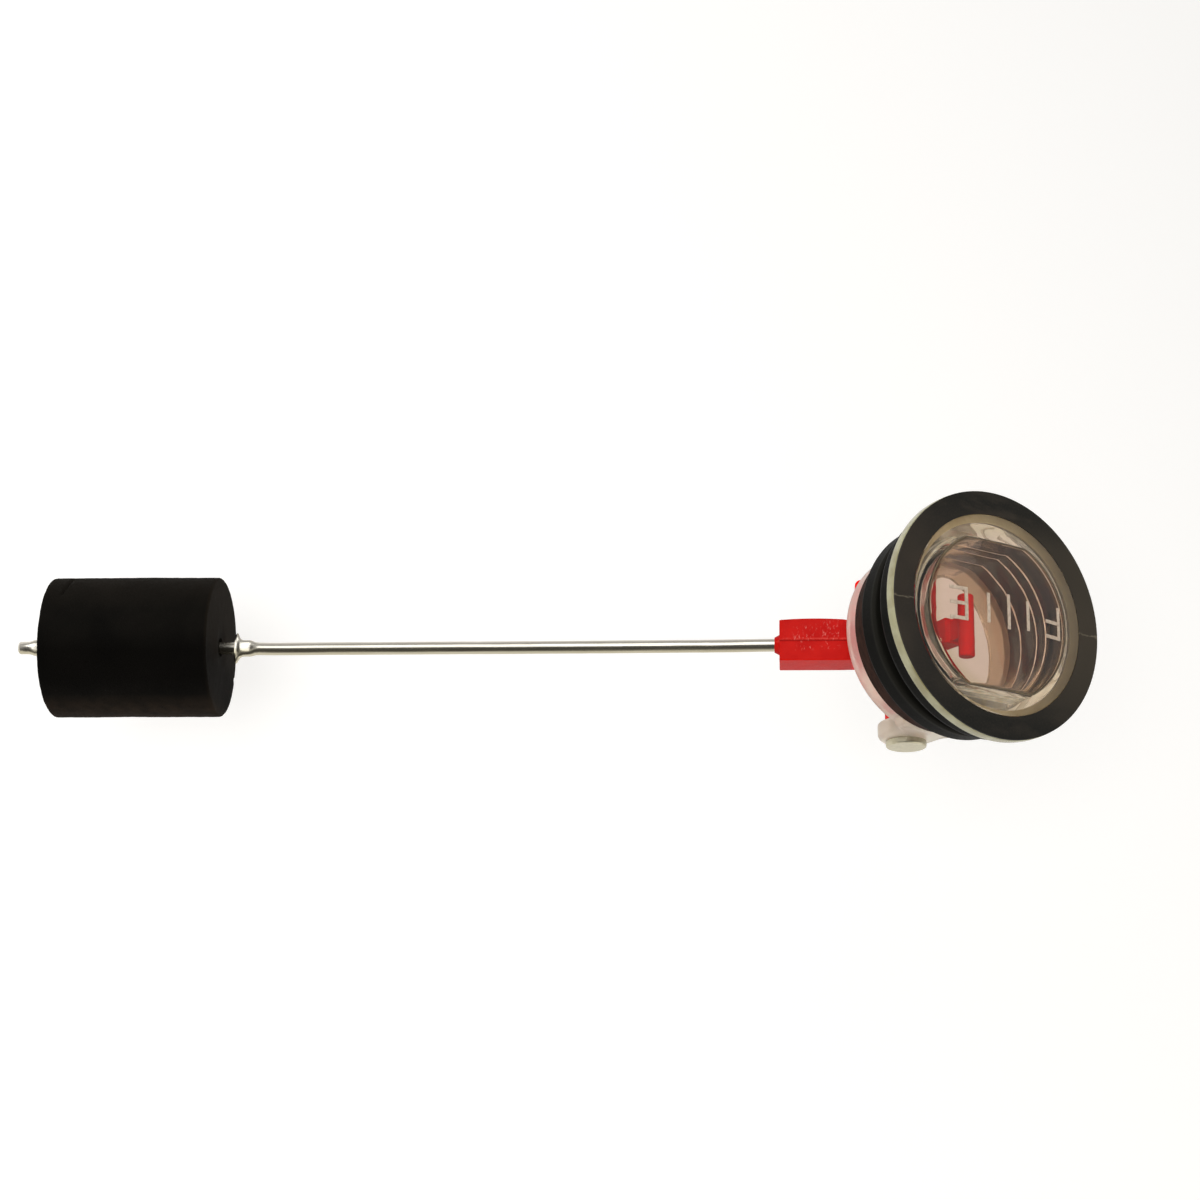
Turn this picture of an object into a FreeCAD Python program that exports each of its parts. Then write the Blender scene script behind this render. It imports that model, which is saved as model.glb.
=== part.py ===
# Sight-glass fuel level float. A clear dial body with a domed window sits in a rubber tank
# grommet. Two lugs under it carry a red lever on a headed pin. The lever holds a wire rod with
# a foam float at its far end, and its upright pointer moves a bar below the dial marks.
#
# Frame: the origin is on the axis of the dial, at the underside of its flange. +Z points out of
# the tank, the rod reaches towards -X and the pivot pin lies along Y. Millimetres and degrees.
import FreeCAD, Part
import os

import Sketcher

# Driving sizes
SIZES = {
    "flange_radius": 30.0,  # outer radius of the dial flange
    "flange_thick": 2.8,  # thickness of the flange
    "flange_round": 0.5,  # rounding of the flange rim
    "flange_band": 5.8,  # width of the flange round the raised window
    "dome_rise": 2.7,  # height of the dome above the face ring
    "window_wall": 2.4,  # wall of the window, whose underside follows the dome
    "ring_thick": 0.4,  # thickness of the black face ring
    "ring_clear": 0.15,  # gap between the window and the face ring
    "ring_margin": 0.1,  # how far the face ring stays inside the flange rim
    "barrel_radius": 22.3,  # outer radius of the clear barrel
    "barrel_wall": 2.2,  # wall of the barrel at its mouth
    "barrel_depth": 26.2,  # length of the barrel below the flange
    "flat_half": 18.1,  # half the distance between the inner flats at the mouth
    "upper_step": 6.0,  # depth of the upper moulded step inside the barrel
    "lower_step": 14.7,  # depth of the lower moulded step inside the barrel
    "step_size": 0.3,  # how far each moulded step stands in
    "lug_thick": 4.6,  # thickness of a pivot lug
    "lug_radius": 6.8,  # radius of the round lug end
    "lug_round": 1.8,  # rounding of the outer lug edges
    "lug_inner_round": 0.9,  # rounding of the inner lug edges
    "lug_flare": 1.6,  # radius of the flare between a lug and the barrel mouth
    "rim_height": 4.7,  # height of the bare rim of the barrel, below the grommet
    "pivot_drop": 32.85,  # depth of the pivot below the flange
    "stop_width": 2.4,  # width of a travel stop inside the barrel
    "stop_height": 3.6,  # height of a travel stop
    "stop_proud": 2.2,  # how far a travel stop stands out of its flat
    "stop_lift": 0.4,  # height of a travel stop above the barrel mouth
    "stop_clear": 0.1,  # gap between heel and stop with the float at its lowest
    "drop_travel": 25.0,  # swing of the lever from the drawn place to its lowest
    "pin_radius": 2.0,  # radius of the pivot pin
    "pin_seat": 0.02,  # radial gap between the pin and the lugs
    "pin_clear": 0.06,  # radial running clearance between the pin and the lever
    "head_radius": 4.9,  # radius of the pin head
    "head_thick": 1.5,  # thickness of the pin head
    "head_round": 0.5,  # rounding of the pin head
    "end_gap": 0.05,  # gap between a lug and what bears on it
    "clip_radius": 4.6,  # outer radius of the push-on washer
    "clip_thick": 0.5,  # thickness of the push-on washer
    "clip_dish": 0.7,  # how far the washer is dished
    "clip_fit": 0.02,  # radial gap between the washer and the pin
    "pin_tail": 0.9,  # length of pin beyond the washer
    "pin_bevel": 0.35,  # bevel on the tail of the pin
    "grommet_fit": 0.03,  # radial gap between the grommet and the barrel
    "lip_wall": 6.17,  # wall of the grommet at its upper lip
    "lip_height": 5.3,  # height of the grommet's upper lip
    "lip_round": 1.6,  # rounding of the upper lip
    "groove_wall": 1.67,  # wall of the grommet in the groove that the tank wall sits in
    "groove_width": 4.4,  # width of that groove
    "foot_wall": 3.87,  # wall of the grommet at its lower lip
    "foot_height": 5.3,  # height of the grommet's lower lip
    "foot_round": 0.9,  # rounding of the lower lip
    "sleeve_wall": 0.7,  # wall of the grommet's sleeve, which runs down to the rim of the barrel
    "relief_depth": 0.35,  # depth of the relief groove in the grommet bore
    "relief_width": 0.8,  # width of the relief groove
    "arm_angle": 34.7,  # fall of the rod below the plane of the flange
    "arm_offset": 5.6,  # distance of the rod line from the pivot
    "arm_width": 10.0,  # width of the arm block along the pivot
    "arm_thick": 9.0,  # thickness of the arm block
    "arm_drop": 0.25,  # how far the middle of the arm block lies below the rod line
    "arm_reach": 30.4,  # distance from the pivot to the end of the arm block
    "arm_round": 0.25,  # rounding of the arm block
    "collar_radius": 2.5,  # radius of the moulded collar at the arm block
    "collar_end": 1.85,  # radius of the moulded collar at its thin end
    "collar_length": 1.2,  # length of the moulded collar
    "hub_radius": 5.0,  # radius of the lever hub
    "hub_gap": 0.4,  # side gap between the hub and each lug
    "wing_reach": 11.95,  # reach of the hub plate's wing towards the arm
    "heel_reach": 7.5,  # reach of the hub plate away from the arm
    "wing_low": 0.6,  # height of the hub plate's lower face above the pivot
    "wing_high": 4.65,  # height of the hub plate's upper face above the pivot
    "wing_inset": 0.8,  # how far the hub plate stays inside the hub ends
    "wing_corner": 1.5,  # corner radius of the wing
    "pointer_lean": 1.05,  # lean of the pointer from upright, towards the empty mark
    "pointer_reach": 23.95,  # distance from the pivot to the pointer bar
    "bar_radius": 1.9,  # radius of the pointer bar
    "bar_half": 7.6,  # half the length of the pointer bar
    "bar_round": 0.5,  # rounding of the bar ends
    "post_thick": 4.8,  # thickness of the pointer post
    "post_half": 3.06,  # half width of the pointer post
    "post_round": 0.4,  # rounding of the pointer post
    "shoulder_place": 19.25,  # distance from the pivot to the shoulder of the post
    "neck_thick": 2.0,  # thickness of the neck between the post and the bar
    "neck_half": 2.6,  # half width of the neck
    "rod_radius": 1.6,  # radius of the float rod
    "rod_fit": 0.02,  # radial gap between the rod and its socket
    "socket_depth": 15.0,  # depth of the rod socket in the arm block
    "socket_end": 0.3,  # gap behind the rod in its socket
    "tip_bevel": 0.5,  # bevel on the free end of the rod
    "tip_length": 3.5,  # length of round rod beyond the outer ears
    "float_start": 167.8,  # distance along the rod from the pivot to the float
    "float_length": 42.0,  # length of the float
    "float_radius": 17.45,  # radius of the float
    "float_clear": 0.08,  # radial running clearance between the float and the rod
    "float_edge": 0.3,  # bevel on the float edges
    "near_play": 3.3,  # gap between the float and the inner ears
    "far_play": 1.4,  # gap between the float and the outer ears
    "ear_half": 4.1,  # half the span of the staked ears
    "ear_thick": 0.9,  # thickness of the staked ears along the rod
    "ear_flare": 1.5,  # radius of the flare behind the ears
    "crimp_half": 2.02,  # half width of the pressed flat beside the ears
    "crimp_thick": 2.6,  # thickness of the pressed flat
    "crimp_length": 3.5,  # length of the pressed flat
    "mark_height": 0.2,  # height of the raised dial marks
    "mark_stroke": 0.8,  # stroke width of the dial marks
    "letter_half": 3.6,  # half the height of the letters, to the outer stroke centres
    "letter_width": 4.3,  # width of the letters, from the upright to the stroke ends
    "empty_place": -11.1,  # place of the upright of the E
    "full_place": 16.7,  # place of the upright of the F
    "tick_middle": 0.85,  # place of the middle tick
    "tick_spacing": 5.85,  # distance between the ticks
    "tick_half": 3.6,  # half the length of the outer ticks
    "tick_middle_half": 4.2,  # half the length of the middle tick
}

# Lengths and places that several pieces share, as formulas over the driving sizes
WINDOW_BASE = "(Sizes.flange_thick + Sizes.ring_thick)"
DOME_TOP = "(Sizes.flange_thick + Sizes.ring_thick + Sizes.dome_rise)"
WINDOW_RADIUS = "(Sizes.flange_radius - Sizes.flange_band)"
DOME_SPHERE = "((%s ^ 2 + Sizes.dome_rise ^ 2) / (2 * Sizes.dome_rise))" % WINDOW_RADIUS
DOME_CENTRE = "(%s - %s)" % (DOME_TOP, DOME_SPHERE)
CAVITY_RADIUS = "(Sizes.barrel_radius - Sizes.barrel_wall)"
LUG_FACE = "(Sizes.flat_half + Sizes.lug_thick)"
HUB_HALF = "(Sizes.flat_half - Sizes.hub_gap)"
HEAD_SEAT = "(%s + Sizes.end_gap)" % LUG_FACE
CLIP_TOP = "(%s + Sizes.clip_dish + Sizes.clip_thick)" % HEAD_SEAT
GROOVE_TOP = "(-Sizes.lip_height)"
GROOVE_END = "(-Sizes.lip_height - Sizes.groove_width)"
FOOT_END = "(-Sizes.lip_height - Sizes.groove_width - Sizes.foot_height)"
SLEEVE_END = "(-Sizes.barrel_depth + Sizes.rim_height)"
GROMMET_BORE = "(Sizes.barrel_radius + Sizes.grommet_fit)"
LIP_RADIUS = "(%s + Sizes.lip_wall)" % GROMMET_BORE
GROOVE_RADIUS = "(%s + Sizes.groove_wall)" % GROMMET_BORE
FOOT_RADIUS = "(%s + Sizes.foot_wall)" % GROMMET_BORE
SLEEVE_RADIUS = "(%s + Sizes.sleeve_wall)" % GROMMET_BORE
FLOAT_END = "(Sizes.float_start + Sizes.float_length)"
NEAR_EARS = "(Sizes.float_start - Sizes.near_play)"
FAR_EARS = "(%s + Sizes.far_play)" % FLOAT_END
EAR_SPAN = "(Sizes.ear_thick + Sizes.crimp_length)"
ROD_START = "(Sizes.arm_reach - Sizes.socket_depth + Sizes.socket_end)"
ROD_END = "(%s + %s + Sizes.tip_length)" % (FAR_EARS, EAR_SPAN)

# How far a cutting tool passes the faces that it opens, and the depth of a stop's root
OVERCUT = 1.0
STOP_ROOT = 1.0

doc = FreeCAD.newDocument("FuelLevelFloat")
sheet = doc.addObject("Spreadsheet::Sheet", "Sizes")
for row, (alias, value) in enumerate(SIZES.items(), start=1):
    sheet.set("A%d" % row, alias)
    sheet.set("B%d" % row, str(value))
    sheet.setAlias("B%d" % row, alias)
doc.recompute()


def bind(obj, path, formula):
    """Tie a property to a formula over the sheet's sizes."""
    obj.setExpression(path, formula)


def value_of(obj, formula):
    """What a formula over the sizes comes to now."""
    return float(obj.evalExpression(formula))


def place(obj, x=None, y=None, z=None, axis=None, angle=None):
    """Bind an object's place, and its turn about a fixed axis, to formulas."""
    if axis is not None:
        obj.Placement = FreeCAD.Placement(FreeCAD.Vector(), FreeCAD.Rotation(axis, 90))
        bind(obj, "Placement.Rotation.Angle", angle)
    for letter, formula in (("x", x), ("y", y), ("z", z)):
        if formula is not None:
            bind(obj, "Placement.Base." + letter, formula)


def primitive(kind, name, **formulas):
    """A Part primitive with its sizes bound to formulas."""
    obj = doc.addObject("Part::" + kind, name)
    for path, formula in formulas.items():
        bind(obj, path, formula)
    return obj


def fuse(name, shapes):
    obj = doc.addObject("Part::MultiFuse", name)
    obj.Shapes = shapes
    obj.Refine = True
    return obj


def boolean(kind, name, base, tool):
    obj = doc.addObject("Part::" + kind, name)
    obj.Base = base
    obj.Tool = tool
    return obj


X_AXIS = FreeCAD.Vector(1, 0, 0)
Y_AXIS = FreeCAD.Vector(0, 1, 0)


def rod_along_y(name, radius, half):
    """A cylinder centred on the pivot line, which is the local Y axis."""
    obj = primitive("Cylinder", name, Radius=radius, Height="2 * (%s)" % half)
    place(obj, y="-(%s)" % half, axis=X_AXIS, angle="-90")
    return obj


def new_sketch(body, role, name, lift=None):
    """A sketch on one of the body's own origin planes, moved along its normal by lift."""
    sketch = body.newObject("Sketcher::SketchObject", name)
    for feature in body.Origin.OriginFeatures:
        if feature.Role == role:
            sketch.AttachmentSupport = [(feature, "")]
    sketch.MapMode = "FlatFace"
    if lift is not None:
        bind(sketch, "AttachmentOffset.Base.z", lift)
    return sketch


def arc_between(start, end, centre):
    """The shorter arc from start to end, and whether it runs anticlockwise."""
    first = start - centre
    last = end - centre
    turns_left = first.cross(last).z > 0
    begin, stop = (first, last) if turns_left else (last, first)
    angles = [FreeCAD.Vector(1, 0, 0).getAngle(v) * (1 if v.y >= 0 else -1) for v in (begin, stop)]
    circle = Part.Circle(centre, FreeCAD.Vector(0, 0, 1), first.Length)
    return Part.ArcOfCircle(circle, angles[0], angles[1]), turns_left


def outline(sketch, corners):
    """Draw a closed outline and hold each corner by two distances that formulas give.

    A corner is (x, y), or (x, y, centre x, centre y) where an arc runs to the next one.
    """
    def pin(geometry, point, axis, formula, value):
        number = sketch.addConstraint(
            Sketcher.Constraint("Distance" + axis, -1, 1, geometry, point, value))
        bind(sketch, "Constraints[%d]" % number, formula)

    spots = [FreeCAD.Vector(value_of(sketch, c[0]), value_of(sketch, c[1]), 0) for c in corners]
    ends = []
    for i, corner in enumerate(corners):
        start, end = spots[i], spots[(i + 1) % len(spots)]
        if len(corner) == 2:
            number = sketch.addGeometry(Part.LineSegment(start, end), False)
            ends.append((number, 1, 2))
            continue
        centre = FreeCAD.Vector(value_of(sketch, corner[2]), value_of(sketch, corner[3]), 0)
        arc, turns_left = arc_between(start, end, centre)
        number = sketch.addGeometry(arc, False)
        ends.append((number, 1, 2) if turns_left else (number, 2, 1))
    for i, (number, first, last) in enumerate(ends):
        after, after_first, after_last = ends[(i + 1) % len(ends)]
        sketch.addConstraint(Sketcher.Constraint("Coincident", number, last, after, after_first))
        pin(number, first, "X", corners[i][0], spots[i].x)
        pin(number, first, "Y", corners[i][1], spots[i].y)
    for i, corner in enumerate(corners):
        if len(corner) == 4:
            # The ends leave the centre one freedom, along the line square to the chord
            chord = spots[(i + 1) % len(spots)] - spots[i]
            which = 3 if abs(chord.x) > abs(chord.y) else 2
            formula = corner[which]
            pin(ends[i][0], 3, "XY"[which - 2], formula, value_of(sketch, formula))
    sketch.Visibility = False


def revolved(name, axis, corners):
    """A body turned from an outline in its XZ plane, about V_Axis (Z) or H_Axis (X)."""
    body = doc.addObject("PartDesign::Body", name)
    sketch = new_sketch(body, "XZ_Plane", name + "_section")
    outline(sketch, corners)
    turned = body.newObject("PartDesign::Revolution", name + "_turned")
    turned.Profile = sketch
    turned.ReferenceAxis = (sketch, [axis])
    turned.Angle = 360
    return body


def padded(name, role, corners, depth, lift=None, centred=False):
    """A body padded from an outline on one of its origin planes."""
    body = doc.addObject("PartDesign::Body", name)
    sketch = new_sketch(body, role, name + "_outline", lift)
    outline(sketch, corners)
    pad = body.newObject("PartDesign::Pad", name + "_pad")
    pad.Profile = sketch
    pad.Midplane = centred
    bind(pad, "Length", depth)
    return body


def round_edges(body, name, radius, wanted):
    """Fillet those edges of the body's last feature that the test picks."""
    doc.recompute()
    last = body.Tip
    picked = ["Edge%d" % i for i, edge in enumerate(last.Shape.Edges, 1) if wanted(edge.BoundBox)]
    fillet = body.newObject("PartDesign::Fillet", name)
    fillet.Base = (last, picked)
    bind(fillet, "Radius", radius)
    return fillet


def finish(obj, label):
    obj.Label = label
    return obj


def lens_shell():
    """Domed window, flange and barrel as one turned blank, still without its hollow."""
    rim = "(Sizes.flange_radius - Sizes.flange_round)"
    upper = "(Sizes.flange_thick - Sizes.flange_round)"
    return revolved("lens_shell", "V_Axis", [
        ("0", "-Sizes.barrel_depth"),
        ("Sizes.barrel_radius", "-Sizes.barrel_depth"),
        ("Sizes.barrel_radius", "0"),
        (rim, "0", rim, "Sizes.flange_round"),
        ("Sizes.flange_radius", "Sizes.flange_round"),
        ("Sizes.flange_radius", upper, rim, upper),
        (rim, "Sizes.flange_thick"),
        (WINDOW_RADIUS, "Sizes.flange_thick"),
        (WINDOW_RADIUS, WINDOW_BASE, "0", DOME_CENTRE),
        ("0", DOME_TOP),
    ])


def lens_hollow():
    """The barrel's hollow: a round bore with two flats, narrower above each moulded step.

    A ball with the dome's own centre ends it, so that the window has an even wall.
    """
    levels = [("-Sizes.lower_step", 0), ("-Sizes.upper_step", 1), (DOME_TOP, 2)]
    stages = []
    for top, number in levels:
        inset = "%d * Sizes.step_size" % number
        height = "%s + Sizes.barrel_depth + %g" % (top, OVERCUT)
        floor = "-Sizes.barrel_depth - %g" % OVERCUT
        bore = primitive("Cylinder", "bore_stage_%d" % number,
                         Radius="%s - %s" % (CAVITY_RADIUS, inset), Height=height)
        place(bore, z=floor)
        slab = primitive("Box", "flat_stage_%d" % number, Length="2 * Sizes.barrel_radius",
                         Width="2 * (Sizes.flat_half - %s)" % inset, Height=height)
        place(slab, x="-Sizes.barrel_radius", y="-(Sizes.flat_half - %s)" % inset, z=floor)
        stages.append(boolean("Common", "hollow_stage_%d" % number, bore, slab))
    under = primitive("Sphere", "window_underside", Radius="%s - Sizes.window_wall" % DOME_SPHERE)
    place(under, z=DOME_CENTRE)
    return boolean("Common", "lens_hollow", fuse("hollow_stages", stages), under)


def pivot_lugs():
    """Two tabs with round ends that flow out of the barrel's mouth and hold the pin."""
    root = "(Sizes.lug_radius + Sizes.lug_flare)"
    bend = "(-Sizes.barrel_depth - Sizes.lug_flare / 2)"
    shoulder = "(%s + Sizes.lug_flare)" % bend
    start = "(%s - Sizes.end_gap)" % SLEEVE_END
    lug = padded("lug", "XZ_Plane", [
        ("-Sizes.lug_radius", "-Sizes.pivot_drop", "0", "-Sizes.pivot_drop"),
        ("0", "-Sizes.pivot_drop - Sizes.lug_radius", "0", "-Sizes.pivot_drop"),
        ("Sizes.lug_radius", "-Sizes.pivot_drop"),
        ("Sizes.lug_radius", bend, root, bend),
        (root, shoulder),
        (root, start),
        ("-" + root, start),
        ("-" + root, shoulder, "-" + root, bend),
        ("-Sizes.lug_radius", bend),
    ], "Sizes.lug_thick", lift="Sizes.flat_half")
    for name, radius, face in (("lug_rounding", "Sizes.lug_round", LUG_FACE),
                               ("lug_inner_rounding", "Sizes.lug_inner_round", "Sizes.flat_half")):
        y = -value_of(lug, face)
        top = value_of(lug, shoulder) + 1e-3
        round_edges(lug, name, radius, lambda box: abs(box.YMin - y) < 1e-3 and abs(box.YMax - y) < 1e-3
                    and box.ZMax < top)
    other = doc.addObject("Part::Mirroring", "lug_opposite")
    other.Source = lug
    other.Normal = Y_AXIS
    return [lug, other]


def travel_stops():
    """Blocks on the flats just inside the mouth, which the lever's heel meets at its lowest.

    The heel's upper face then lies at the arm angle plus the drop, and the block's lower
    inner corner stays one clearance off that face.
    """
    fall = "(Sizes.arm_angle + Sizes.drop_travel)"
    rise = "(Sizes.pivot_drop - Sizes.barrel_depth + Sizes.stop_lift)"
    edge = "((%s * cos(%s) - Sizes.wing_high - Sizes.stop_clear) / sin(%s))" % (rise, fall, fall)
    stops = []
    for side, base in (("near", "-Sizes.flat_half - %g" % STOP_ROOT),
                       ("far", "Sizes.flat_half - Sizes.stop_proud")):
        stop = primitive("Box", "stop_" + side, Length="Sizes.stop_width",
                         Width="Sizes.stop_proud + %g" % STOP_ROOT, Height="Sizes.stop_height")
        place(stop, x="%s - Sizes.stop_width" % edge, y=base, z="-Sizes.barrel_depth + Sizes.stop_lift")
        stops.append(stop)
    return stops


def make_lens_body():
    """The clear moulding: window, flange, barrel, lugs and stops in one piece."""
    blank = fuse("lens_blank", [lens_shell()] + pivot_lugs())
    hollowed = boolean("Cut", "lens_hollowed", blank, lens_hollow())
    stopped = fuse("lens_stopped", [hollowed] + travel_stops())
    bore = rod_along_y("lug_bore", "Sizes.pin_radius + Sizes.pin_seat", "%s + %g" % (LUG_FACE, OVERCUT))
    bind(bore, "Placement.Base.z", "-Sizes.pivot_drop")
    return finish(boolean("Cut", "lens_bored", stopped, bore), "lens_body")


def make_face_ring():
    """Thin black ring that lies on the flange round the window."""
    inner = "(%s + Sizes.ring_clear)" % WINDOW_RADIUS
    outer = "(Sizes.flange_radius - Sizes.ring_margin)"
    return finish(revolved("ring_washer", "V_Axis", [
        (inner, "Sizes.flange_thick"),
        (outer, "Sizes.flange_thick"),
        (outer, WINDOW_BASE),
        (inner, WINDOW_BASE),
    ]), "face_ring")


def make_grommet():
    """Rubber grommet on the barrel: wide upper lip, groove for the tank wall, lower lip, sleeve."""
    lip_x = "(%s - Sizes.lip_round)" % LIP_RADIUS
    lip_top = "(-Sizes.lip_round)"
    lip_low = "(-Sizes.lip_height + Sizes.lip_round)"
    foot_x = "(%s - Sizes.foot_round)" % FOOT_RADIUS
    foot_top = "(%s - Sizes.foot_round)" % GROOVE_END
    foot_low = "(%s + Sizes.foot_round)" % FOOT_END
    relief_x = "(%s + Sizes.relief_depth)" % GROMMET_BORE
    return finish(revolved("grommet_ring", "V_Axis", [
        (GROMMET_BORE, SLEEVE_END),
        (SLEEVE_RADIUS, SLEEVE_END),
        (SLEEVE_RADIUS, FOOT_END),
        (foot_x, FOOT_END, foot_x, foot_low),
        (FOOT_RADIUS, foot_low),
        (FOOT_RADIUS, foot_top, foot_x, foot_top),
        (foot_x, GROOVE_END),
        (GROOVE_RADIUS, GROOVE_END),
        (GROOVE_RADIUS, GROOVE_TOP),
        (lip_x, GROOVE_TOP, lip_x, lip_low),
        (LIP_RADIUS, lip_low),
        (LIP_RADIUS, lip_top, lip_x, lip_top),
        (lip_x, "0"),
        (GROMMET_BORE, "0"),
        (GROMMET_BORE, "%s + Sizes.relief_width / 2" % GROOVE_TOP),
        (relief_x, GROOVE_TOP),
        (GROMMET_BORE, "%s - Sizes.relief_width / 2" % GROOVE_TOP),
    ]), "grommet")


def arm_frame(obj):
    """Carry a piece drawn about the pivot, rod along local -X, to its place in the row."""
    place(obj, z="-Sizes.pivot_drop", axis=Y_AXIS, angle="-Sizes.arm_angle")


def rod_frame(obj):
    """Carry a piece drawn about the rod line, rod along local -X, to its place in the row."""
    place(obj, x="-Sizes.arm_offset * sin(Sizes.arm_angle)",
          z="-Sizes.pivot_drop + Sizes.arm_offset * cos(Sizes.arm_angle)",
          axis=Y_AXIS, angle="-Sizes.arm_angle")


def hub_plate():
    """Plate along the hub: its heel meets the stops, and a wing on the +Y side stiffens the arm."""
    side = "(%s - Sizes.wing_inset)" % HUB_HALF
    x_round = "(-Sizes.wing_reach + Sizes.wing_corner)"
    y_round = "(%s - Sizes.wing_corner)" % side
    return padded("hub_plate", "XY_Plane", [
        ("0", "-" + side),
        ("Sizes.heel_reach", "-" + side),
        ("Sizes.heel_reach", side),
        (x_round, side, x_round, y_round),
        ("-Sizes.wing_reach", y_round),
        ("-Sizes.wing_reach", "0"),
        ("0", "0"),
    ], "Sizes.wing_high - Sizes.wing_low", lift="Sizes.wing_low")


def arm_block():
    """Square block that reaches out from the hub and holds the rod."""
    block = padded("arm_block", "XY_Plane", [
        ("-Sizes.arm_reach", "-Sizes.arm_width / 2"),
        ("0", "-Sizes.arm_width / 2"),
        ("0", "Sizes.arm_width / 2"),
        ("-Sizes.arm_reach", "Sizes.arm_width / 2"),
    ], "Sizes.arm_thick", lift="Sizes.arm_offset - Sizes.arm_drop - Sizes.arm_thick / 2")
    round_edges(block, "arm_rounding", "Sizes.arm_round",
                lambda box: box.XMax > box.XMin + 1 or box.XMax < -1)
    return block


def pointer():
    """Upright post, neck and cross bar, drawn upright and leaned to their place on the lever."""
    post = padded("pointer_post", "XY_Plane", [
        ("-Sizes.post_thick / 2", "-Sizes.post_half"),
        ("Sizes.post_thick / 2", "-Sizes.post_half"),
        ("Sizes.post_thick / 2", "Sizes.post_half"),
        ("-Sizes.post_thick / 2", "Sizes.post_half"),
    ], "Sizes.shoulder_place")
    round_edges(post, "post_rounding", "Sizes.post_round", lambda box: box.ZMax > 1)
    neck = primitive("Box", "pointer_neck", Length="Sizes.neck_thick", Width="2 * Sizes.neck_half",
                     Height="Sizes.pointer_reach")
    place(neck, x="-Sizes.neck_thick / 2", y="-Sizes.neck_half", z="0")
    tip = "(Sizes.bar_half - Sizes.bar_round)"
    face = "(Sizes.bar_radius - Sizes.bar_round)"
    bar = revolved("pointer_bar", "V_Axis", [
        ("0", "-Sizes.bar_half"),
        (face, "-Sizes.bar_half", face, "-" + tip),
        ("Sizes.bar_radius", "-" + tip),
        ("Sizes.bar_radius", tip, face, tip),
        (face, "Sizes.bar_half"),
        ("0", "Sizes.bar_half"),
    ])
    place(bar, z="Sizes.pointer_reach", axis=X_AXIS, angle="90")
    whole = fuse("pointer", [post, neck, bar])
    place(whole, axis=Y_AXIS, angle="Sizes.arm_angle - Sizes.pointer_lean")
    return whole


def make_float_lever():
    """The red moulding: hub, plate with heel, arm block, collar and pointer in one piece."""
    collar = primitive("Cone", "rod_collar", Radius1="Sizes.collar_radius", Radius2="Sizes.collar_end",
                       Height="Sizes.collar_length")
    place(collar, x="-Sizes.arm_reach", z="Sizes.arm_offset", axis=Y_AXIS, angle="-90")
    solid = fuse("lever_solid", [rod_along_y("hub", "Sizes.hub_radius", HUB_HALF), hub_plate(),
                                 arm_block(), collar, pointer()])
    socket = primitive("Cylinder", "rod_socket", Radius="Sizes.rod_radius + Sizes.rod_fit",
                       Height="Sizes.socket_depth + Sizes.collar_length + %g" % OVERCUT)
    place(socket, x="-Sizes.arm_reach + Sizes.socket_depth", z="Sizes.arm_offset", axis=Y_AXIS, angle="-90")
    bore = rod_along_y("hub_bore", "Sizes.pin_radius + Sizes.pin_clear", "%s + %g" % (HUB_HALF, OVERCUT))
    lever = boolean("Cut", "lever_bored", boolean("Cut", "lever_socketed", solid, socket), bore)
    arm_frame(lever)
    return finish(lever, "float_lever")


def ears(name, start, towards):
    """Staked ears and pressed flat. The ears face the float, and the flat lies towards the
    rod's root or tip as the sign says, so the rod is pressed thin there and spread sideways."""
    fin = "(%s %s Sizes.ear_thick)" % (start, towards)
    flare = "(%s %s Sizes.ear_flare)" % (fin, towards)
    end = "(%s %s %s)" % (start, towards, EAR_SPAN)
    wide = "(Sizes.crimp_half + Sizes.ear_flare)"
    corners = []
    for side in ("-", ""):
        stretch = [
            ("-" + start, side + "Sizes.ear_half"),
            ("-" + fin, side + "Sizes.ear_half"),
            ("-" + fin, side + wide, "-" + flare, side + wide),
            ("-" + flare, side + "Sizes.crimp_half"),
            ("-" + end, side + "Sizes.crimp_half"),
        ]
        if side == "":
            stretch = [stretch[4], (stretch[3][0], stretch[3][1]) + stretch[2][2:],
                       stretch[2][:2], stretch[1], stretch[0]]
        corners.extend(stretch)
    return padded(name, "XY_Plane", corners, "Sizes.crimp_thick", centred=True)


def make_float_rod():
    """Round wire rod, with ears and flats staked on it at both ends of the float."""
    wire = revolved("rod_wire", "H_Axis", [
        ("-" + ROD_END, "0"),
        ("-" + ROD_START, "0"),
        ("-" + ROD_START, "Sizes.rod_radius"),
        ("-%s + Sizes.tip_bevel" % ROD_END, "Sizes.rod_radius"),
        ("-" + ROD_END, "Sizes.rod_radius - Sizes.tip_bevel"),
    ])
    presses = []
    for end, start in (("near", "-%s" % NEAR_EARS), ("far", "-%s - %s" % (FAR_EARS, EAR_SPAN))):
        for side, base in (("over", "Sizes.crimp_thick / 2"),
                           ("under", "-Sizes.crimp_thick / 2 - Sizes.rod_radius")):
            press = primitive("Box", "press_%s_%s" % (end, side), Length=EAR_SPAN,
                              Width="2 * Sizes.rod_radius", Height="Sizes.rod_radius")
            place(press, x=start, y="-Sizes.rod_radius", z=base)
            presses.append(press)
    pressed = boolean("Cut", "rod_pressed", wire, fuse("press_marks", presses))
    rod = fuse("rod_staked", [pressed, ears("near_ears", NEAR_EARS, "-"),
                              ears("far_ears", FAR_EARS, "+")])
    rod_frame(rod)
    return finish(rod, "float_rod")


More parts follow.
